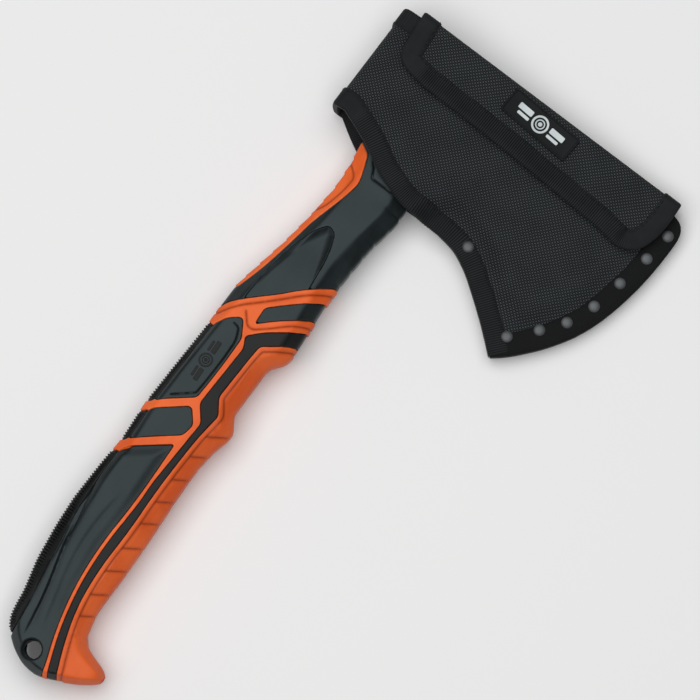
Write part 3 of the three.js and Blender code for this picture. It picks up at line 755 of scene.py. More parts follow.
# Lines of the relief, in plan.
LINES = {
    "top_lip": [
        (192.2, 34), (192.4, 30), (197.8, 26.2), (203.5, 20.8), (208, 15.4), (216.7, 5.7), (222.9, -0.6),
        (230.4, -10.6), (234, -18),
    ],
    "second_lip": [
        (201.5, 18), (198.6, 15.6), (195.6, 13.4), (195.4, 10), (199.8, 4), (207, -4.2), (211.8, -12),
        (213.2, -20),
    ],
    "badge_line": [(193.2, 19.4), (192.6, 16.4), (186.4, 13.8), (170, 14.2), (153.8, 15.8), (146.2, 26)],
    "flute_a": [
        (96, 34.6), (84, 33.3), (72, 31.6), (59, 29.3), (47, 26.6), (37, 24.2), (26, 22.2), (14, 20.6),
        (4, 19.6),
    ],
    "flute_b": [(98, 17), (84, 20), (71, 21.4), (57, 21.4), (45, 20), (33, 17.6), (20, 15), (8, 13)],
    "collar": [(304, 7), (299, 6.8), (296.8, 4.7), (292.1, 3.3), (291.5, -8.8), (294.7, -10.8), (304, -12)],
    "shaft_ridge": [(286.7, -12.3), (267.6, -8.9), (254, -8), (240, -10)],
    "insert_facet": [(262, 19), (268, 14.8), (279, 11.6), (287.5, 10.6), (291, 14), (296, 20)],
}
LINES = {
    name: eased(line, sharp=0.6 if name in ("badge_line", "collar") else 50, loop=False)
    for name, line in LINES.items()
}
FINGER_GROOVES = [136.8, 125, 111.3, 98, 85, 70.3, 56.8, 42.8, 30]
TOOTH_PITCH, SCALLOP = 1.55, 9.0      # along the spine's strips, and along the shaft
SCALLOP_COLUMNS = 8                   # of the form, over which the spine's scallops fade
CREASE_CUTS = (-0.6, 0.0, 0.6)        # distances from a crease's line that get edges in the mesh


def hole_distance(x, y):
    return HOLE_R + 0.55 - np.hypot(x - HOLE_X, y - HOLE_Y)


def beside(x, y, name):
    return line_distance(x, y, LINES[name])


def groove(distance, depth, width):
    """Depth of a groove at a distance from its line, and the painted shade along it."""
    return -depth * bell(distance, width), 0.85 * bell(distance, width * 1.1)


def flute(x, y, name, depth, width, sharp):
    """A hollow beside a line: a quick fall to one side and a long rise beyond, with painted shade at the
    foot of the fall.
    """
    side = beside(x, y, name)
    line = LINES[name]
    fade = smooth_step((x - line[-1][0]) / 14) * smooth_step((line[0][0] - x) / 16)
    fall = smooth_step(side / sharp + 0.5) * np.exp(-np.maximum(side, 0) / width)
    return -depth * fade * fall, 0.25 * fade * bell(side - 0.4 * sharp, 1.2)


def together(height, *reliefs):
    """A plain height with reliefs added to it, and their painted shade, which is at most 1."""
    return height + sum(part for part, _ in reliefs), np.clip(sum(crease for _, crease in reliefs), 0, 1)


def relief_upper_shaft(p, x, y):
    notch = 0.5 * bell(p["run"] % SCALLOP - SCALLOP / 2, 0.8) * smooth_step((-y - 9) / 5)
    ridge = 0.35 * bell(beside(x, y, "shaft_ridge"), 1.6)
    return together(ridge - notch, groove(beside(x, y, "collar"), 0.5, 0.5))


def relief_thumb_pad(p, x, y):
    """A hollow for the thumb, with a sloping wall that is widest round its far end and darkened with painted
    shade.
    """
    from_border = np.abs(line_distance(x, y, THUMB_RIM))
    far_end = smooth_step((x - 227) / 24)
    down = np.clip(from_border / (0.8 + 3.9 * far_end), 0, 1)
    wall = 1 - (1 - down) ** 1.5
    # Painted shade on the sloping wall, darkest near the border at the far end.
    dark = (1 - smooth_step((down - 0.35) / 0.65)) * far_end
    return -(0.3 + 1.75 * far_end) * wall * smooth_step((x - 208) / 12), 0.75 * dark


def relief_spine_insert(p, x, y):
    scallop = (p["run"] % SCALLOP) / SCALLOP
    spine = smooth_step((14 - np.abs(p["column"])) / SCALLOP_COLUMNS)
    return together(0.6 * scallop * spine, groove(beside(x, y, "insert_facet"), 0.25, 0.5))


def relief_net(p, x, y):
    belly_side = 0.45 * smooth_step((4 - y) / 12) * (x > 185)
    top, second = groove(beside(x, y, "top_lip"), 0.55, 0.55), groove(beside(x, y, "second_lip"), 0.5, 0.5)
    return together(0.25 + belly_side, top, second)


def relief_badge(p, x, y):
    return groove(beside(x, y, "badge_line"), 0.45, 0.4)


def relief_palm(p, x, y):
    low_border = np.abs(line_distance(x, y, PALM_LOW_RIM))
    fall = -1.3 * smooth_step((6.5 - low_border) / 6.5) * smooth_step((x - 6) / 26)
    swell = 0.35 * bell(beside(x, y, "flute_b") + 4.5, 3.2)
    swell *= smooth_step((x - 12) / 18) * smooth_step((92 - x) / 24)
    return together(
        fall + swell, flute(x, y, "flute_a", 1.6, 4.6, 1.5), flute(x, y, "flute_b", 0.9, 3.4, 3.2),
    )


def finger_line(x, y, at):
    return 0.83 * (x - at) + 0.55 * (y - 1.5)


def relief_belly(p, x, y):
    shelf = 0.5 * smooth_step((p["edge"] - 2.7) / 0.7)
    beyond = smooth_step((p["edge"] - 2.4) / 0.8) * (0.3 + 0.7 * smooth_step((p["belly"] - 6) / 12))
    cuts = sum(bell(finger_line(x, y, at), 0.6) for at in FINGER_GROOVES) * beyond
    rim = bell(p["edge"] - 2.5, 0.55)
    # Painted shade: a little over the whole belly grip, more in the finger grooves and along the rim.
    return 0.1 + shelf - 0.5 * cuts - 0.2 * rim, np.clip(0.16 + 0.7 * cuts + 0.8 * rim, 0, 1)


def relief_teeth(p, x, y):
    tooth = 0.5 + 0.5 * np.cos(2 * math.pi * p["run"] / TOOTH_PITCH)
    fade = smooth_step((p["edge"] - 0.6) / 1.0) * smooth_step((27 - np.abs(p["column"])) / 9)
    # Painted shade between the teeth.
    return -0.3 + 0.85 * fade * (tooth ** 0.8), 0.8 * fade * (1 - tooth)


def relief_plain(p, x, y):
    return 0 * x, 0 * x


# Creases that get edges of their own in the mesh, so that they come out clean.
CREASES = {
    "orange_overmould": [partial(beside, name="top_lip"), partial(beside, name="second_lip")],
    "upper_shaft_cover": [partial(beside, name="collar")],
    "badge_plate": [partial(beside, name="badge_line")],
    "palm_plate": [partial(beside, name="flute_a")],
    "spine_insert": [partial(beside, name="insert_facet")],
    "belly_grip": [partial(finger_line, at=at) for at in FINGER_GROOVES],
}
GRIP_RANGE = {
    "upper_shaft_cover": (190, 308), "spine_insert": (204, 306), "thumb_pad": (202, 264),
    "waist_inlay": (194, 232), "badge_plate": (136, 200), "upper_spine_strip": (134, 191),
    "hex_plate": (113, 149), "middle_spine_strip": (110, 137), "palm_plate": (-12, 130),
    "lower_spine_strip": (-4, 112), "zigzag_band": (-12, 212), "orange_overmould": (-12, 240),
    "belly_grip": (-12, 204),
}


def grip_piece(part, field, slot, relief, side=0, rows=1.2, columns=3, spine_only=None, levels=()):
    """One moulded piece: the handle's form cut to a region, with rounded borders and its relief.

    side is 1 or -1 for a plate on the front or the back. levels are distances in from the border
    that get edges of their own."""
    name = part + {0: "", 1: "_front", -1: "_back"}[side]
    patch = form_patch(*GRIP_RANGE[part], rows, columns, spine_only)
    x, y, z = patch["at"].T
    border = field(x, y)
    if side:
        border = np.maximum(border, SEAM - side * z)
    patch["border"] = border
    patch.keep_below("border", -SEAM)
    for level in (0.4 * ROUNDING, ROUNDING + 0.05, *levels):
        patch.cut("border", -SEAM - level)
    for crease_line in CREASES.get(part, ()):
        patch["line"] = crease_line(*patch["at"].T[:2])
        for level in CREASE_CUTS:
            patch.cut("line", level)
    patch["edge"] = -patch["border"] - SEAM
    at = patch["at"]
    normal = patch["normal"] / np.linalg.norm(patch["normal"], axis=1, keepdims=True)
    depth = np.clip(ROUNDING - patch["edge"], 0, ROUNDING)
    drop = ROUNDING - np.sqrt(np.maximum(ROUNDING ** 2 - depth ** 2, 0))
    # A relief gives heights and the painted shade of its grooves and hollows.
    height, crease = relief(patch, *at.T[:2])
    patch["at"] = at + normal * (height - drop)[:, None]
    inner = at - normal * SHELL
    make_closed(name, patch, inner, slot, "axe", [name], edge=patch["edge"], crease=crease)


def region(*names, without=(), hole=False):
    """Signed distance to what lies inside all these outlines and outside others, negative within."""
    def field(x, y):
        parts = [inside_distance(x, y, OUTLINES[name]) for name in names]
        parts += [-inside_distance(x, y, OUTLINES[name]) for name in without]
        if hole:
            parts.append(hole_distance(x, y))
        return np.maximum.reduce(parts)
    return field


def net_field(x, y):
    """The orange net: outside all other regions, and not in the slit between a strip and its plate."""
    gaps = {other: inside_distance(x, y, OUTLINES[other]) for other in NOT_ORANGE}
    parts = [-inside_distance(x, y, OUTLINES["below_band"]), -np.minimum.reduce(list(gaps.values()))]
    for plate, strip in (("badge", "upper"), ("hex", "middle"), ("palm", "lower")):
        parts.append(0.9 - gaps[f"{plate}_plate"] - gaps[f"{strip}_spine_strip"])
    parts.append(np.minimum(12 - x, y - 12))
    return np.maximum.reduce(parts)


def handle():
    fine = {"rows": 0.7, "columns": 2}
    shaft = region("upper_shaft", without=("spine_insert", "thumb_pad"))
    grip_piece("upper_shaft_cover", shaft, "charcoal_grip", relief_upper_shaft)
    grip_piece("spine_insert", region("spine_insert"), "orange_grip", relief_spine_insert, **fine)
    for name in ("upper_spine_strip", "middle_spine_strip", "lower_spine_strip"):
        grip_piece(name, region(name, hole=True), "black_grip", relief_teeth,
                   rows=TOOTH_PITCH / 6, columns=4, spine_only=60)
    grip_piece("orange_overmould", net_field, "orange_grip", relief_net, rows=0.8, columns=2)
    grip_piece("belly_grip", region("below_band", without=["zigzag_band"]), "orange_grip", relief_belly,
               rows=1.0, levels=(1.9, 2.5, 3.1))
    plates = {
        "thumb_pad": (region("thumb_pad", "upper_shaft"), relief_thumb_pad, fine),
        "waist_inlay": (region("waist_inlay"), relief_plain, {}),
        "badge_plate": (region("badge_plate"), relief_badge, fine),
        "hex_plate": (region("hex_plate"), relief_plain, {}),
        "palm_plate": (region("palm_plate", hole=True), relief_palm, fine),
        "zigzag_band": (region("zigzag_band"), relief_plain, {}),
    }
    for name, (field, relief, spacing) in plates.items():
        slot = "black_grip" if name == "zigzag_band" else "charcoal_grip"
        for side in (1, -1):
            grip_piece(name, field, slot, relief, side, **spacing)


# ---------------------------------------------------------------- sheath: the fabric's form
PANEL = [
    (313, 32.6), (309.5, 24.5), (304.5, 13.5), (297, 2.5), (289.5, -15.8), (288.9, -30), (287.9, -43),
    (286.1, -51.1), (280.6, -61.2), (270.8, -73.5), (261.1, -84.8), (251.1, -95.2), (256.1, -102),
    (263, -109), (270.2, -115.6), (280, -122.8), (288, -127.3), (296.6, -131), (308, -134.6),
    (320, -137.4), (332.5, -139.3), (345, -140.3), (353.5, -140.5), (358.4, -138.1), (360.4, -132.4),
    (364.2, -124), (366.1, -90), (368.15, -50), (370.2, -16), (371.9, 29.4),
]
BACK_PANEL = [(313, 34), (306.5, 25), (298.5, 11.5), (293.2, -2), (291.2, -15.8), (290.5, -30), *PANEL[6:]]
SEWN_FROM, HEEL, TOE = 6, 11, 24      # places in PANEL
POLL_EDGE = {"x": 315.7, "y": 39.2, "lean": 0.0576, "corner": 4.2}
BEYOND_POLL = 75.0                    # the unrolled outline runs on past the middle of the poll wall
PINCH, RISE = 9.0, 13                 # how far in a sewn edge stays flat, and how far it then rises
SEWN_LINE = PANEL[SEWN_FROM:TOE + 1]


def near_rivets(x, y, reach):
    return sum(bell(np.hypot(x - rx, y - ry), reach) for rx, ry in RIVETS)


def panel_height(x, y, side):
    """Height of a panel's outer face over the axe's middle plane, on the front or on the back."""
    plane = front_half(y) if side > 0 else back_half(y)
    away = np.abs(line_distance(x, y, SEWN_LINE))
    rise = smooth_step((away - PINCH - 1.4 * near_rivets(x, y, 8.0)) / RISE)
    slack = 0.22 * wobble(x, y, 70, 5 if side < 0 else 4)
    return HEM_HALF + (plane - HEM_HALF + slack) * rise


def poll_edge(x):
    return POLL_EDGE["y"] - POLL_EDGE["lean"] * (x - POLL_EDGE["x"])


def poll_shape(x):
    """First tangent of the poll's round corner, heights there, the wall's length and a corner's length."""
    tangent = poll_edge(x) - POLL_EDGE["corner"]
    top, low = panel_height(x, tangent, 1), panel_height(x, tangent, -1)
    return tangent, top, low, top + low - 2 * POLL_EDGE["corner"], POLL_EDGE["corner"] * math.pi / 2


def middle_of_wall(x):
    tangent, _, _, wall, corner = poll_shape(x)
    return tangent + corner + wall / 2


def sheath_point(x, v):
    """The sheath's outer face where the cloth's own coordinates are x and v. v is y on the front panel,
    then runs round the poll wall and back along the back panel."""
    x, v = np.broadcast_arrays(np.asarray(x, float), np.asarray(v, float))
    tangent, top, low, wall, corner = poll_shape(x)
    radius = POLL_EDGE["corner"]
    past = v - tangent
    first = np.clip(past, 0, corner) / radius
    down = np.clip(past - corner, 0, wall)
    second = np.clip(past - corner - wall, 0, corner) / radius
    back = np.maximum(past - 2 * corner - wall, 0)
    bulge = 0.5 * np.sin(math.pi * down / np.maximum(wall, 1e-6))
    front_y = np.minimum(v, tangent)
    y = front_y + radius * np.sin(first) - radius * (1 - np.cos(second)) - back + bulge
    on_front = panel_height(x, front_y, 1) - radius * (1 - np.cos(first)) - down - radius * np.sin(second)
    on_back = -panel_height(x, np.minimum(y, tangent), -1)
    z = np.where(back > 0, on_back, on_front)
    return np.stack([x, y, z], -1)


def skin_normal(skin, x, v, step=0.25):
    """Outward normals of a skin given by two coordinates."""
    along = skin(x + step, v) - skin(x - step, v)
    across = skin(x, v + step) - skin(x, v - step)
    normal = np.cross(along, across)
    return normal / np.maximum(np.linalg.norm(normal, axis=-1, keepdims=True), 1e-9)


def sheath_outline(panel):
    ends = [(panel[-1][0], BEYOND_POLL), (panel[0][0] - 0.4, BEYOND_POLL)]
    return eased([*panel, *ends], sharp=3.0)


def folded(x, v):
    """v on the front panel, and its mirror image on the back."""
    middle = middle_of_wall(x)
    return middle - np.abs(v - middle)


def cut_cloth(name, skin, u, v, border, cloth, thick, body, stands_for, sunk=None):
    """A sheet of cloth over a grid of a skin's coordinates, cut along a border: the piece, its flat size
    and its area. cloth is its own two coordinates, and sunk how far in it goes, worked out from them."""
    sheet = Surface(
        grid_faces(*u.shape), at=skin(u, v).reshape(-1, 3), normal=skin_normal(skin, u, v).reshape(-1, 3),
        border=border.ravel(), cloth=np.stack(cloth, -1).reshape(-1, 2),
    )
    sheet.keep_below("border")
    flat = sheet["cloth"]
    if sunk:
        sheet["at"] = sheet["at"] - sheet["normal"] * sunk(flat)
    inner = sheet["at"] - sheet["normal"] * thick
    piece = make_closed(name, sheet, inner, "ballistic_nylon", body, stands_for, cloth=flat)
    return piece, tuple((flat.max(0) - flat.min(0)) / 1000), flat_area(flat, sheet.faces)


def sheath_body():
    x = np.arange(247.0, 374.0, 1.5)[:, None]
    tangent, _, _, wall, corner = poll_shape(x)
    low = BIT_Y - 5

    def stretch(start, length, count, last=False):
        return start + length * np.arange(count + last) / count

    v = np.hstack([
        stretch(low, tangent - low, 110), stretch(tangent, corner, 7), stretch(tangent + corner, wall, 14),
        stretch(tangent + corner + wall, corner, 7),
        stretch(tangent + 2 * corner + wall, tangent - low, 110, last=True),
    ])
    x = np.broadcast_to(x, v.shape)
    border = np.where(
        v < middle_of_wall(x), inside_distance(x, v, sheath_outline(PANEL)),
        inside_distance(x, folded(x, v), sheath_outline(BACK_PANEL)),
    )
    panels = ["sheath_front_panel", "sheath_back_panel", "sheath_poll_wrap"]
    return cut_cloth("sheath_body", sheath_point, x, v, border, (x, v), CLOTH, "axe", panels)


# ---------------------------------------------------------------- tapes and stitches along an edge
RIB = 1.15                            # pitch of the grosgrain's ribs
TAPE_WIDTH, INNER_LEG = 9.5, 5.0      # of a binding's outer and inner half
STITCH_INSET = 8.2                    # of a binding's stitches from its edge
STITCH_LIFT = TAPE + 0.1              # of a stitch's middle over the cloth
HEM_WRAP = HEM_HALF - 0.04            # down from a sewn edge's face, almost to the middle plane


def walked(path, step):
    """Points at even steps along a path, with the direction to its left and the distance walked."""
    path = np.array(path, float)
    run = np.concatenate([[0], np.cumsum(np.linalg.norm(np.diff(path, axis=0), axis=1))])
    at = np.linspace(0, run[-1], max(2, int(run[-1] / step) + 1))
    points = np.stack([np.interp(at, run, path[:, i]) for i in range(2)], 1)
    heading = np.gradient(points, axis=0)
    heading = blurred(heading, max(1.0, 0.8 / step))
    heading /= np.linalg.norm(heading, axis=1, keepdims=True)
    return points, np.stack([-heading[:, 1], heading[:, 0]], 1), at


def bound_edge(name, skin, path, width, thick, wrap, slot, body, stands_for, ribs=0.0, step=RIB / 4):
    """A tape folded over the edge of a skin. path runs with the cloth on its left. width, wrap and ribs
    may be functions of the path's points: wrap is how far the tape reaches down past the edge, ribs
    the height of its ribs."""
    points, left, run = walked(path, step)
    width, wrap, ribs = (
        np.broadcast_to(size(points) if callable(size) else size, run.shape) for size in (width, wrap, ribs)
    )
    rib = 0.5 + (0.5 * np.cos(2 * math.pi * run / RIB)) * np.minimum(ribs / 0.3, 1)
    proud = thick + ribs * (rib - 0.5)
    one, leg = np.ones_like(run), np.minimum(INNER_LEG, width)
    section = [                       # in from the edge, and out from the cloth's face
        (width, -0.15 * one), (width, proud * 0.55), (width - 0.5, proud), (width * 0.66, proud),
        (width * 0.33, proud), (0.6 * one, proud), (-0.35 * proud, proud * 0.75), (-0.9 * proud, 0.1 * one),
        (-0.9 * proud, -wrap + 0.3), (-0.3 * one, -wrap), (leg, -wrap), (leg, -wrap + 0.35),
        (0.05 * one, -wrap + 0.45), (0.05 * one, -0.15 * one),
    ]
    rows = []
    for inward, out in section:
        x, v = (points + left * inward[:, None]).T
        rows.append(skin(x, v) + skin_normal(skin, x, v) * out[:, None])
    at, faces = ringed(np.stack(rows, 1))
    across = np.stack([inward for inward, _ in section], 1)
    cloth = np.stack([np.repeat(run[:, None], len(section), 1), across], -1).reshape(-1, 2)
    # rib also goes to the material, where it paints rib crowns lighter and the hollows darker: painted
    # highlight and shade.
    rib = np.repeat(rib, len(section))
    return make(name, at, faces, slot, body, stands_for, sharp=60, cloth=cloth, rib=rib)


def stitches(name, skin, path, inset, lift, body, length=2.7, gap=0.9, radius=0.24):
    """A row of thread stitches at a distance in from an edge, each a small bar with rounded ends."""
    points, left, run = walked(path, 0.3)
    points = points + left * inset
    t = np.linspace(0, 1, 5)
    ring = np.arange(6)[:, None] * math.pi / 3
    bars = []
    for start in np.arange(0.6, run[-1] - length - 0.6, length + gap):
        x, v = (np.interp(start + t * length, run, points[:, i]) for i in range(2))
        up = skin_normal(skin, x, v)
        spine = skin(x, v) + up * (lift - 0.5 * (2 * t - 1) ** 4)[:, None]
        side = np.cross(np.gradient(spine, axis=0), up)
        side /= np.linalg.norm(side, axis=1, keepdims=True)
        round_about = side[:, None] * np.cos(ring) + up[:, None] * np.sin(ring)
        bars.append(ringed(spine[:, None] + round_about * radius))
    return make(name, *joined(bars), "stitching", body)


def edge_path(first, last, back=False):
    """Part of the panel's outline as a path with the cloth on its left, on the front or the back."""
    line = eased((BACK_PANEL if back else PANEL)[first:last + 1], sharp=2.0, loop=False)
    if back:
        line = np.stack([line[:, 0], 2 * middle_of_wall(line[:, 0]) - line[:, 1]], 1)[::-1]
    return line


def sewn_share(points):
    """1 where the edge is sewn through all layers, 0 where the panel's edge is free."""
    x, v = points.T
    y = folded(x, v)
    return smooth_step((-20 - y) / 24) * (x < 362)


def sheath_edges():
    wrap = CLOTH + TAPE

    def down(points):
        return wrap + (HEM_WRAP - wrap) * sewn_share(points)

    def rib_height(points):
        return 0.36 * smooth_step((30 - folded(*points.T)) / 8)

    def middle(x):
        return float(middle_of_wall(np.array(x)))

    # From the back's heel along its beard and mouth, round the poll, and down the front to the heel.
    path = np.concatenate([edge_path(0, HEEL, back=True), edge_path(0, HEEL)])
    bound_edge(
        "bottom_binding", sheath_point, path, TAPE_WIDTH, TAPE, down, "grosgrain", "axe",
        ["bottom_binding_front", "bottom_binding_back", "poll_bottom_binding"], ribs=rib_height,
    )
    stitches("bottom_stitches", sheath_point, path, STITCH_INSET, STITCH_LIFT, "axe")

    mouth = [(366.05, -92), (368.15, -50), (370.2, -16), (371.9, 29.4)]
    over_poll = [(371.6, middle(371.6)), (371.9, 2 * middle(371.9) - 28.5)]
    top = eased([*mouth, *over_poll], sharp=2.0, loop=False)
    bound_edge(
        "poll_mouth_binding", sheath_point, top, TAPE_WIDTH, TAPE, wrap, "grosgrain", "axe",
        ["poll_mouth_binding"], ribs=0.08,
    )
    stitches("poll_mouth_stitches", sheath_point, top, STITCH_INSET, STITCH_LIFT, "axe")

    def width(points):
        x, y = points[:, 0], folded(*points.T)
        return 10.6 + 0.45 * wobble(x, y, 26, 11) + 0.9 * near_rivets(x, y, 9.0)

    for back, word in ((False, "front"), (True, "back")):
        band = edge_path(HEEL, TOE, back)
        bound_edge(
            f"bit_band_{word}", sheath_point, band, width, TAPE, HEM_WRAP, "hem_tape", "axe",
            [f"bit_band_{word}"], step=0.8,
        )
        stitches(f"bit_stitches_{word}", sheath_point, band, 1.7, STITCH_LIFT, "axe", radius=0.2)


def edge_welt():
    """The strip sewn between the two panels along the bit."""
    points, left, _ = walked(edge_path(HEEL - 2, TOE), 1.2)
    section = [(0.6, 0.8), (0.9, 1.15), (2.0, WELT_HALF - 0.05), (9.0, WELT_HALF - 0.05), (9.8, 1.0)]
    section += [(inward, -height) for inward, height in section[::-1]]
    at = np.stack([
        np.column_stack([points + left * inward, np.full(len(points), height)]) for inward, height in section
    ], 1)
    make("edge_welt_strip", *ringed(at), "welt", "axe", ["edge_welt"])


# ---------------------------------------------------------------- rivets
def rivets():
    base = HEM_HALF + TAPE
    cap = [
        (0, 1.3), (0.9, 1.27), (1.7, 1.13), (2.3, 0.9), (2.7, 0.6), (2.93, 0.25), (3.0, 0.05), (2.95, -0.05),
        (2.7, -0.12), (1.4, -0.14), (1.38, -2 * base - 0.2), (1.0, -2 * base - 0.45), (0.6, -2 * base - 0.2),
        (0, -2 * base + 0.2),
    ]
    washer = [
        (1.45, 0.05), (1.6, 0.0), (2.7, 0.02), (3.0, 0.12), (3.0, 0.42), (2.8, 0.6), (1.7, 0.66),
        (1.45, 0.55),
    ]
    rng = np.random.default_rng(8)
    for i, (x, y) in enumerate(RIVETS, 1):
        points, faces = turned(cap, 36)
        points[:, 2] += points[:, :2] @ rng.normal(0, 0.02, 2)
        make(f"rivet_{i}", points + [x, y, base + 0.12], faces, "rivet_grey", "axe", [f"rivet_{i}"])
        points, faces = turned(washer, 36, loop=True)
        at = points * [1, 1, -1] + [x, y, -base]
        make(f"rivet_washer_{i}", at, faces, "rivet_grey", "axe", [f"rivet_washer_{i}"])


# ---------------------------------------------------------------- flap
FLAP_ENDS = (-132.4, 26.5)
FLAP = [
    (355, 25.2), (350, 23.6), (347.2, 19), (344.6, 9.2), (340.5, -47.7), (334.3, -105.9), (331.8, -117.1),
    (333.6, -123.6), (337.7, -128.1), (347.3, -131.7), (359.9, -132.6),
]
FLAP_CLOTH = 1.3                      # its thickness
FLAP_RADIUS = 2.6                     # of its folds
ROOT_LAP = 11.0                       # how far the flap is sewn down on the back panel
ROOT_PROUD = 1.5                      # the lap's outer face over the back panel's
ROOT_SHORTER = 1.4                    # how far the lap ends short of the flap's bit end
HALF_LAP = 0.6                        # how far each cloth runs on past the strip's middle


def flap_heights(y):
    top = front_half(y) + FLAP_LIFT + CLOTH
    low = back_half(y) + ROOT_PROUD
    return top, low, (top + low) / 2 - FLAP_RADIUS


def root_length(y):
    """From the strip's middle, round the lower fold, to the end of the lap."""
    return flap_heights(y)[2] + FLAP_RADIUS * math.pi / 2 + ROOT_LAP


def flap_plane_x(w, y):
    """The flap unrolled into the front's plane: x where the distance up from the strip's middle is w."""
    _, _, wall = flap_heights(y)
    return fold_x(y) - FLAP_RADIUS - (w - wall - FLAP_RADIUS * math.pi / 2)


def flap_point(plane_x, y):
    """The flap's outer face. plane_x is x on the front, and runs on past the fold, down the strip."""
    plane_x, y = np.broadcast_arrays(np.asarray(plane_x, float), np.asarray(y, float))
    top, low, wall = flap_heights(y)
    corner = FLAP_RADIUS * math.pi / 2
    w = wall + corner - (plane_x - fold_x(y) + FLAP_RADIUS)
    size = np.abs(w)
    up = np.minimum(size, wall)
    turn = np.clip(size - wall, 0, corner) / FLAP_RADIUS
    out = np.maximum(size - wall - corner, 0)
    x = fold_x(y) - FLAP_RADIUS * (1 - np.cos(turn)) - out
    rise = up + FLAP_RADIUS * np.sin(turn)
    middle = (top - low) / 2
    slack = 0.35 * wobble(out * 1.5, y, 60, 21) * smooth_step(out / 12) * (w > 0)
    droop = -0.6 * smooth_step((out - 20) / 22) * (w > 0)
    return np.stack([x, y, middle + np.sign(w) * rise + slack + droop], -1)


def fold_ends(upper):
    """Where the bend across one of the flap's folds starts and ends, square to the fold."""
    x, y = fold_x(FOLD_Y), FOLD_Y
    if upper:
        z, slope = front_half(y) + FLAP_LIFT, SLOPE
        start, end = (x - 2.4, y, z - 1.0), (x - 7.6, y, z)
    else:
        z, slope = -back_half(y), -SLOPE
        start, end = (x - 8.0, y, z), (x - 0.8, y, z + 8.0)
    start, end, fold = np.array(start), np.array(end), np.array([FOLD_LEAN, 1.0, slope])
    end = end - fold * ((end - start) @ fold) / (fold @ fold)
    return [tuple(spot) for spot in placed([start, end])]


def flap():
    far = FOLD_X + 60
    outline = eased([(far, FLAP_ENDS[1]), *FLAP, (far, FLAP_ENDS[0])], sharp=2.0)
    low = ["axe", "flap_top", *fold_ends(False)]
    high = ["flap_top", "flap_front", *fold_ends(True)]

    def cover(w, plane_x, y):
        return np.maximum(inside_distance(plane_x, y, outline), -HALF_LAP - w)

    def root(w, plane_x, y):
        sides = np.maximum(y - FLAP_ENDS[1], FLAP_ENDS[0] + ROOT_SHORTER - y)
        return np.maximum.reduce([sides, -w - root_length(y), w - HALF_LAP])

    def root_sunk(flat):
        return 0.4 * smooth_step((flat[:, :1] + 3) / 2)

    sheets = []
    for name, w_range, border, bend, stands_for, sunk in (
        ("flap_root", (-33, 1.5), root, low, "flap_top_strip", root_sunk),
        ("flap_cover", (-1.5, 62), cover, high, "flap_panel", None),
    ):
        w, y = np.meshgrid(np.arange(*w_range, 0.75), np.arange(-135, 29.5, 1.3), indexing="ij")
        plane_x = flap_plane_x(w, y)
        sheets.append(cut_cloth(
            name, flap_point, plane_x, y, border(w, plane_x, y), (w, y), FLAP_CLOTH, None, [stands_for],
            sunk,
        ))
        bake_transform(sheets[-1][0])

    # One tape runs round the flap and over both ends of its fold, down to the strip's middle.
    ends = [(flap_plane_x(0, end), end) for end in FLAP_ENDS[::-1]]
    path = eased([ends[0], *FLAP, ends[1]], sharp=3.0, loop=False)

    def ribs(points):
        return 0.36 * smooth_step((17 - points[:, 1]) / 8) * smooth_step((points[:, 1] + 124) / 8)

    binding = bound_edge(
        "flap_binding", flap_point, path, TAPE_WIDTH, TAPE, FLAP_CLOTH + TAPE, "grosgrain", None,
        ["flap_binding"], ribs=ribs,
    )
    sewing = stitches("flap_stitches", flap_point, path, 8.3, STITCH_LIFT, None)
    for piece in (binding, sewing):
        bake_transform(piece)

    # The lower half of the strip and the lap on the back panel have their own end tapes.
    for word, end in (("poll", FLAP_ENDS[1]), ("bit", FLAP_ENDS[0] + ROOT_SHORTER)):
        side = [(flap_plane_x(w, end), end) for w in (-root_length(end), 0)]
        if word == "bit":
            side.reverse()
        tape = bound_edge(
            f"flap_root_tape_{word}", flap_point, side, TAPE_WIDTH, 0.35, 1.7, "grosgrain", None, [],
            ribs=0.12,
        )
        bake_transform(tape)
    return sheets


# ---------------------------------------------------------------- patches, the label and its emblem
def patch(name, skin, u, v, inner, outer, slot, body, side=1, relief=None):
    """A closed strip over part of a skin, between two distances out from it. u and v are grids."""
    at, normal = skin(u, v), skin_normal(skin, u, v) * side
    lift = outer + (relief(u, v) if relief else 0 * u)
    edge = np.ones(u.shape)
    edge[1:-1, 1:-1] = 0
    top = at + normal * (lift - 0.35 * edge * (outer - inner))[..., None]
    surface = Surface(grid_faces(*u.shape), at=top.reshape(-1, 3))
    low = (at + normal * inner).reshape(-1, 3)
    cloth = np.stack([u, v], -1).reshape(-1, 2)
    return make_closed(name, surface, low, slot, body, [name], cloth=cloth, rib=np.full(u.size, 0.5))


def back_point(x, y):
    """The back panel's outer face, by its own x and y."""
    return sheath_point(x, 2 * middle_of_wall(x) - y)


def hook_and_loop():
    for name, skin, reach, inner, outer, body in (
        ("hook_tape", flap_point, (-98, 6.5), -1.4, -2.2, "flap_front"),
        ("loop_tape", sheath_point, (-100, 8.5), 0.05, 0.95, "axe"),
    ):
        along = np.arange(*reach, 2.5)
        across, along = np.meshgrid(np.linspace(-24, -10, 10), along, indexing="ij")
        patch(name, skin, fold_x(along) + across, along, inner, outer, "hook_and_loop", body)


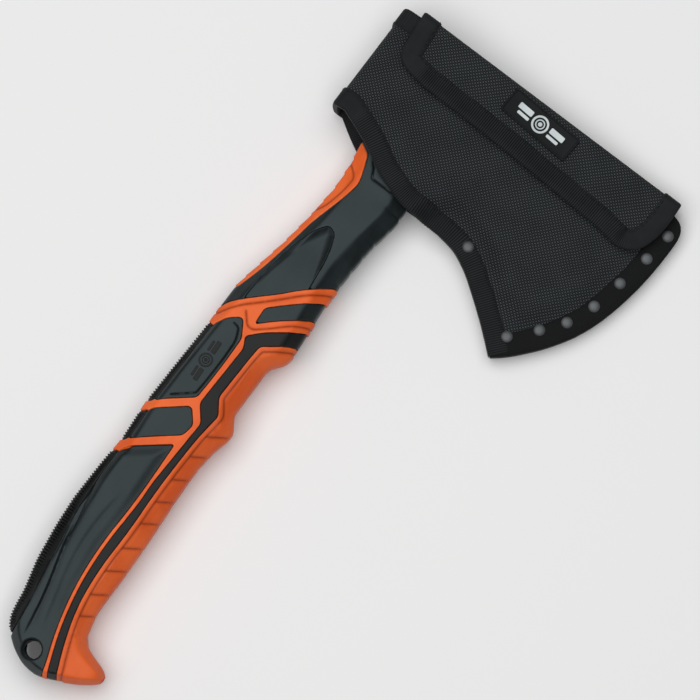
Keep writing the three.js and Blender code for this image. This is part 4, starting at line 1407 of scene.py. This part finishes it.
def belt_loop():
    x, y = np.meshgrid(np.linspace(325, 363, 77), np.linspace(-33, 7, 24), indexing="ij")

    def weave_and_ends(x, y):
        return -0.45 * smooth_step((np.abs(x - 344) - 13.5) / 1.5) + 0.05 * np.cos(2 * math.pi * x / 1.9)

    patch("belt_loop", back_point, x, y, 0.1, LOOP_DEPTH - 0.25, "grosgrain", "axe", -1, weave_and_ends)
    for i, (low, high) in enumerate(((326.5, 329.8), (358.2, 361.5)), 1):
        box = [(low, -31), (high, -31), (high, 5), (low, 5), (low, -31)]
        stitches(f"belt_loop_stitches_{i}", back_point, box, 0.0, 0.85 - LOOP_DEPTH, "axe")


def rounded_box(width, length, radius, inset=0.0, corner=5):
    """Outline of a rectangle with round corners, anticlockwise, drawn smaller by an inset."""
    half_w, half_l, r = width / 2 - inset, length / 2 - inset, max(radius - inset, 0.05)
    points = []
    for quarter, (cx, cy) in enumerate([(1, 1), (-1, 1), (-1, -1), (1, -1)]):
        angle = (quarter + np.linspace(0, 1, corner)) * math.pi / 2
        points += list(zip(cx * (half_w - r) + r * np.cos(angle), cy * (half_l - r) + r * np.sin(angle)))
    return np.array(points)


def stepped(width, length, radius, levels):
    """A raised rectangle with round corners: levels are its insets and heights, from the bottom up."""
    rings = [np.column_stack([rounded_box(width, length, radius, inset), np.full(20, height)])
             for inset, height in levels]
    return ringed(np.stack(rings), [[0, 0, levels[0][1]], [0, 0, levels[-1][1]]])


def emblem(size, height):
    """A generic mark: growth rings of a log between rounded bars. size is its length along y."""
    unit = size / 26
    soft = 0.25 * height
    top = height - soft
    parts = [turned([(0, height), (0.8 * unit, height), (unit, top), (unit, 0), (0, 0)], 32)]
    for inner, outer in ((1.7, 2.3), (3.1, 4.1)):
        inner, outer = inner * unit, outer * unit
        parts.append(turned([
            (inner, 0), (inner, top), (inner + soft, height), (outer - soft, height), (outer, top),
            (outer, 0),
        ], 48, loop=True))
    for end in (-1, 1):
        for offset, width, length in ((-1.1, 2.8, 7.6), (1.9, 1.5, 6.4)):
            levels = [(0, 0), (0, top), (soft, height)]
            points, faces = stepped(width * unit, length * unit, 0.5 * unit, levels)
            parts.append((points + [offset * unit, end * (5.2 + length / 2) * unit, 0], faces))
    return joined(parts)


def set_in_plan(points, angle, x, y):
    """Points turned in plan and moved to x, y."""
    c, s = math.cos(angle), math.sin(angle)
    px, py, pz = points.T
    return np.stack([x + px * c - py * s, y + px * s + py * c, pz], 1)


LABEL_X, LABEL_Y, LABEL_LEAN = 360.4, -52.3, -0.118
LABEL_WIDTH, LABEL_LENGTH, LABEL_CORNER = 14.0, 41.0, 1.5
LABEL_RIM, LABEL_FACE = 1.4, 0.95     # heights over the flap


def label():
    top = front_half(LABEL_Y) + FLAP_LIFT + CLOTH

    def set_down(points, lift):
        at = set_in_plan(points, LABEL_LEAN, LABEL_X, LABEL_Y)
        at[:, 2] += top + SLOPE * (at[:, 1] - LABEL_Y) + lift
        return at

    points, faces = stepped(LABEL_WIDTH, LABEL_LENGTH, LABEL_CORNER, [
        (0, -0.6), (0, 1.2), (0.15, LABEL_RIM), (0.85, LABEL_RIM), (1.05, 1.0), (1.5, LABEL_FACE),
        (6.5, LABEL_FACE),
    ])
    make("label_patch", set_down(points, 0.0), faces, "label_rubber", "flap_front", ["label_patch"])
    points, faces = emblem(29.0, 0.45)
    mirrored = points * [-1, 1, 1]
    make("label_emblem", set_down(mirrored, LABEL_FACE - 0.02), faces, "emblem_grey", "flap_front")

    def label_face(x, y):
        return np.stack([x, y, top + SLOPE * (y - LABEL_Y) + LABEL_RIM], -1)

    border = np.pad(rounded_box(LABEL_WIDTH, LABEL_LENGTH, LABEL_CORNER, 0.55), ((0, 1), (0, 1)))
    border[-1] = border[0]
    border = set_in_plan(border, LABEL_LEAN, LABEL_X, LABEL_Y)[:, :2]
    stitches("label_stitches", label_face, border, 0.0, 0.02, "flap_front", length=1.8, gap=0.7, radius=0.17)


BADGE_X, BADGE_Y, BADGE_SIZE = 170.0, 21.0, 23.0


def form_height(points):
    """Height of the handle's front face near points given by their x and y."""
    front = FORM[::2, 1:COLUMNS // 2:2].reshape(-1, 3)
    near = front[np.hypot(front[:, 0] - BADGE_X, front[:, 1] - BADGE_Y) < BADGE_SIZE]
    gaps = np.hypot(points[:, None, 0] - near[None, :, 0], points[:, None, 1] - near[None, :, 1])
    weight = np.exp(-(gaps / 1.2) ** 2) + 1e-12
    return (weight * near[None, :, 2]).sum(1) / weight.sum(1)


def grip_badges():
    points, faces = emblem(BADGE_SIZE, 0.4)
    at = set_in_plan(points, math.pi / 2, BADGE_X, BADGE_Y)
    at[:, 2] += form_height(at) - 0.04
    for side, word in ((1, "front"), (-1, "back")):
        make(f"grip_badge_{word}", at * [1, 1, side], faces, "black_grip", "axe")


def handle_core():
    """The bar inside the grip, with the tongue that goes up into the head's eye."""
    rows = np.flatnonzero((FORM[:, :, 0].min(1) > 14) & (FORM[:, :, 0].max(1) < 302))[::6]
    bar = (FORM[rows] - FORM_NORMALS[rows] * (SHELL + 0.25))[:, ::5]
    shape = [(298, -9), (311, -10.5), (367.2, -10.5), (367.2, 20.5), (314, 20.5), (308, 15), (298, 12)]
    outline = eased(shape, sharp=0.8, rounds=2)
    middle = outline.mean(0)
    inset = outline + (middle - outline) * 0.02
    rings = [
        np.column_stack([ring, np.full(len(ring), z)])
        for ring, z in ((inset, -5.1), (outline, -4.7), (outline, 4.7), (inset, 5.1))
    ]
    tongue = ringed(np.stack(rings), [[*middle, -5.1], [*middle, 5.1]])
    make("handle_core_bar", *joined([ringed(bar), tongue]), "core_nylon", "axe", ["handle_core"])


def lanyard_liner():
    points, faces = turned([
        (HOLE_R, -11.4), (HOLE_R, 11.4), (HOLE_R + 0.25, 11.7), (HOLE_R + 0.9, 11.5), (HOLE_R + 0.9, -11.5),
        (HOLE_R + 0.25, -11.7),
    ], 64, loop=True)
    make("lanyard_liner", points + [HOLE_X, HOLE_Y, 0], faces, "black_grip", "axe")


def carried_over():
    """CAD nodes whose shape stays: they get the finished materials."""
    for node, material in CARRIED.items():
        mesh = frame["nodes"][node].data
        mesh.materials.clear()
        mesh.materials.append(material)


handle()
handle_core()
lanyard_liner()
grip_badges()
body_piece, body_size, body_flat = sheath_body()
sheath_edges()
edge_welt()
rivets()
belt_loop()
flap_sheets = flap()
hook_and_loop()
label()
carried_over()

# ---------------------------------------------------------------- stage, light and camera
IMAGE_TURN = math.radians(56.3)       # of the axe's x axis from the picture's right
TILT = math.radians(6)                # of the view from straight down, towards the picture's bottom
VIEW_CENTRE = np.array([215.0, -35.2, 0.0])
VIEW_WIDTH, VIEW_DISTANCE = 0.350, 2.3
LIGHT_PLACE = (-0.25, 0.3, 1.7)       # right, up and towards the camera in the picture, in metres
LIGHT_SIZE, LIGHT_POWER = 2.2, 37


def stage_and_camera():
    bpy.ops.mesh.primitive_plane_add(size=12)
    floor = bpy.context.object
    floor.name = "floor"
    paint = Finish("floor_paint", Roughness=0.85)
    paint.shader.inputs["Base Color"].default_value = (0.86, 0.86, 0.86, 1)
    floor.data.materials.append(paint.material)

    right = np.array([math.cos(IMAGE_TURN), -math.sin(IMAGE_TURN), 0])
    up = np.array([math.sin(IMAGE_TURN), math.cos(IMAGE_TURN), 0])
    normal = np.array([0, 0, 1.0])
    back = normal * math.cos(TILT) - up * math.sin(TILT)
    top = up * math.cos(TILT) + normal * math.sin(TILT)
    axes = [Vector(TURN @ axis) for axis in (right, top, back)]
    turn = Matrix((axes[0], axes[1], axes[2])).transposed().to_4x4()
    centre = Vector(placed(VIEW_CENTRE[None])[0])
    camera = bpy.data.objects.new("camera", bpy.data.cameras.new("camera"))
    camera.data.sensor_width = 36
    camera.data.lens = 36 * VIEW_DISTANCE / VIEW_WIDTH
    camera.data.clip_end = 20
    camera.matrix_world = Matrix.Translation(centre + axes[2] * VIEW_DISTANCE) @ turn
    bpy.context.scene.collection.objects.link(camera)
    bpy.context.scene.camera = camera

    light = bpy.data.lights.new("overhead", "AREA")
    light.shape = "RECTANGLE"
    light.size = light.size_y = LIGHT_SIZE
    light.energy = LIGHT_POWER
    lamp = bpy.data.objects.new("overhead", light)
    lamp.location = centre + axes[0] * LIGHT_PLACE[0] + axes[1] * LIGHT_PLACE[1] + axes[2] * LIGHT_PLACE[2]
    lamp.rotation_euler = (centre - lamp.location).to_track_quat("-Z", "Y").to_euler()
    bpy.context.scene.collection.objects.link(lamp)

    world = bpy.data.worlds.new("studio")
    world.use_nodes = True
    world.node_tree.nodes["Background"].inputs["Color"].default_value = (1, 1, 1, 1)
    world.node_tree.nodes["Background"].inputs["Strength"].default_value = 0.15
    bpy.context.scene.world = world
    bpy.context.scene.view_settings.view_transform = "Standard"


stage_and_camera()
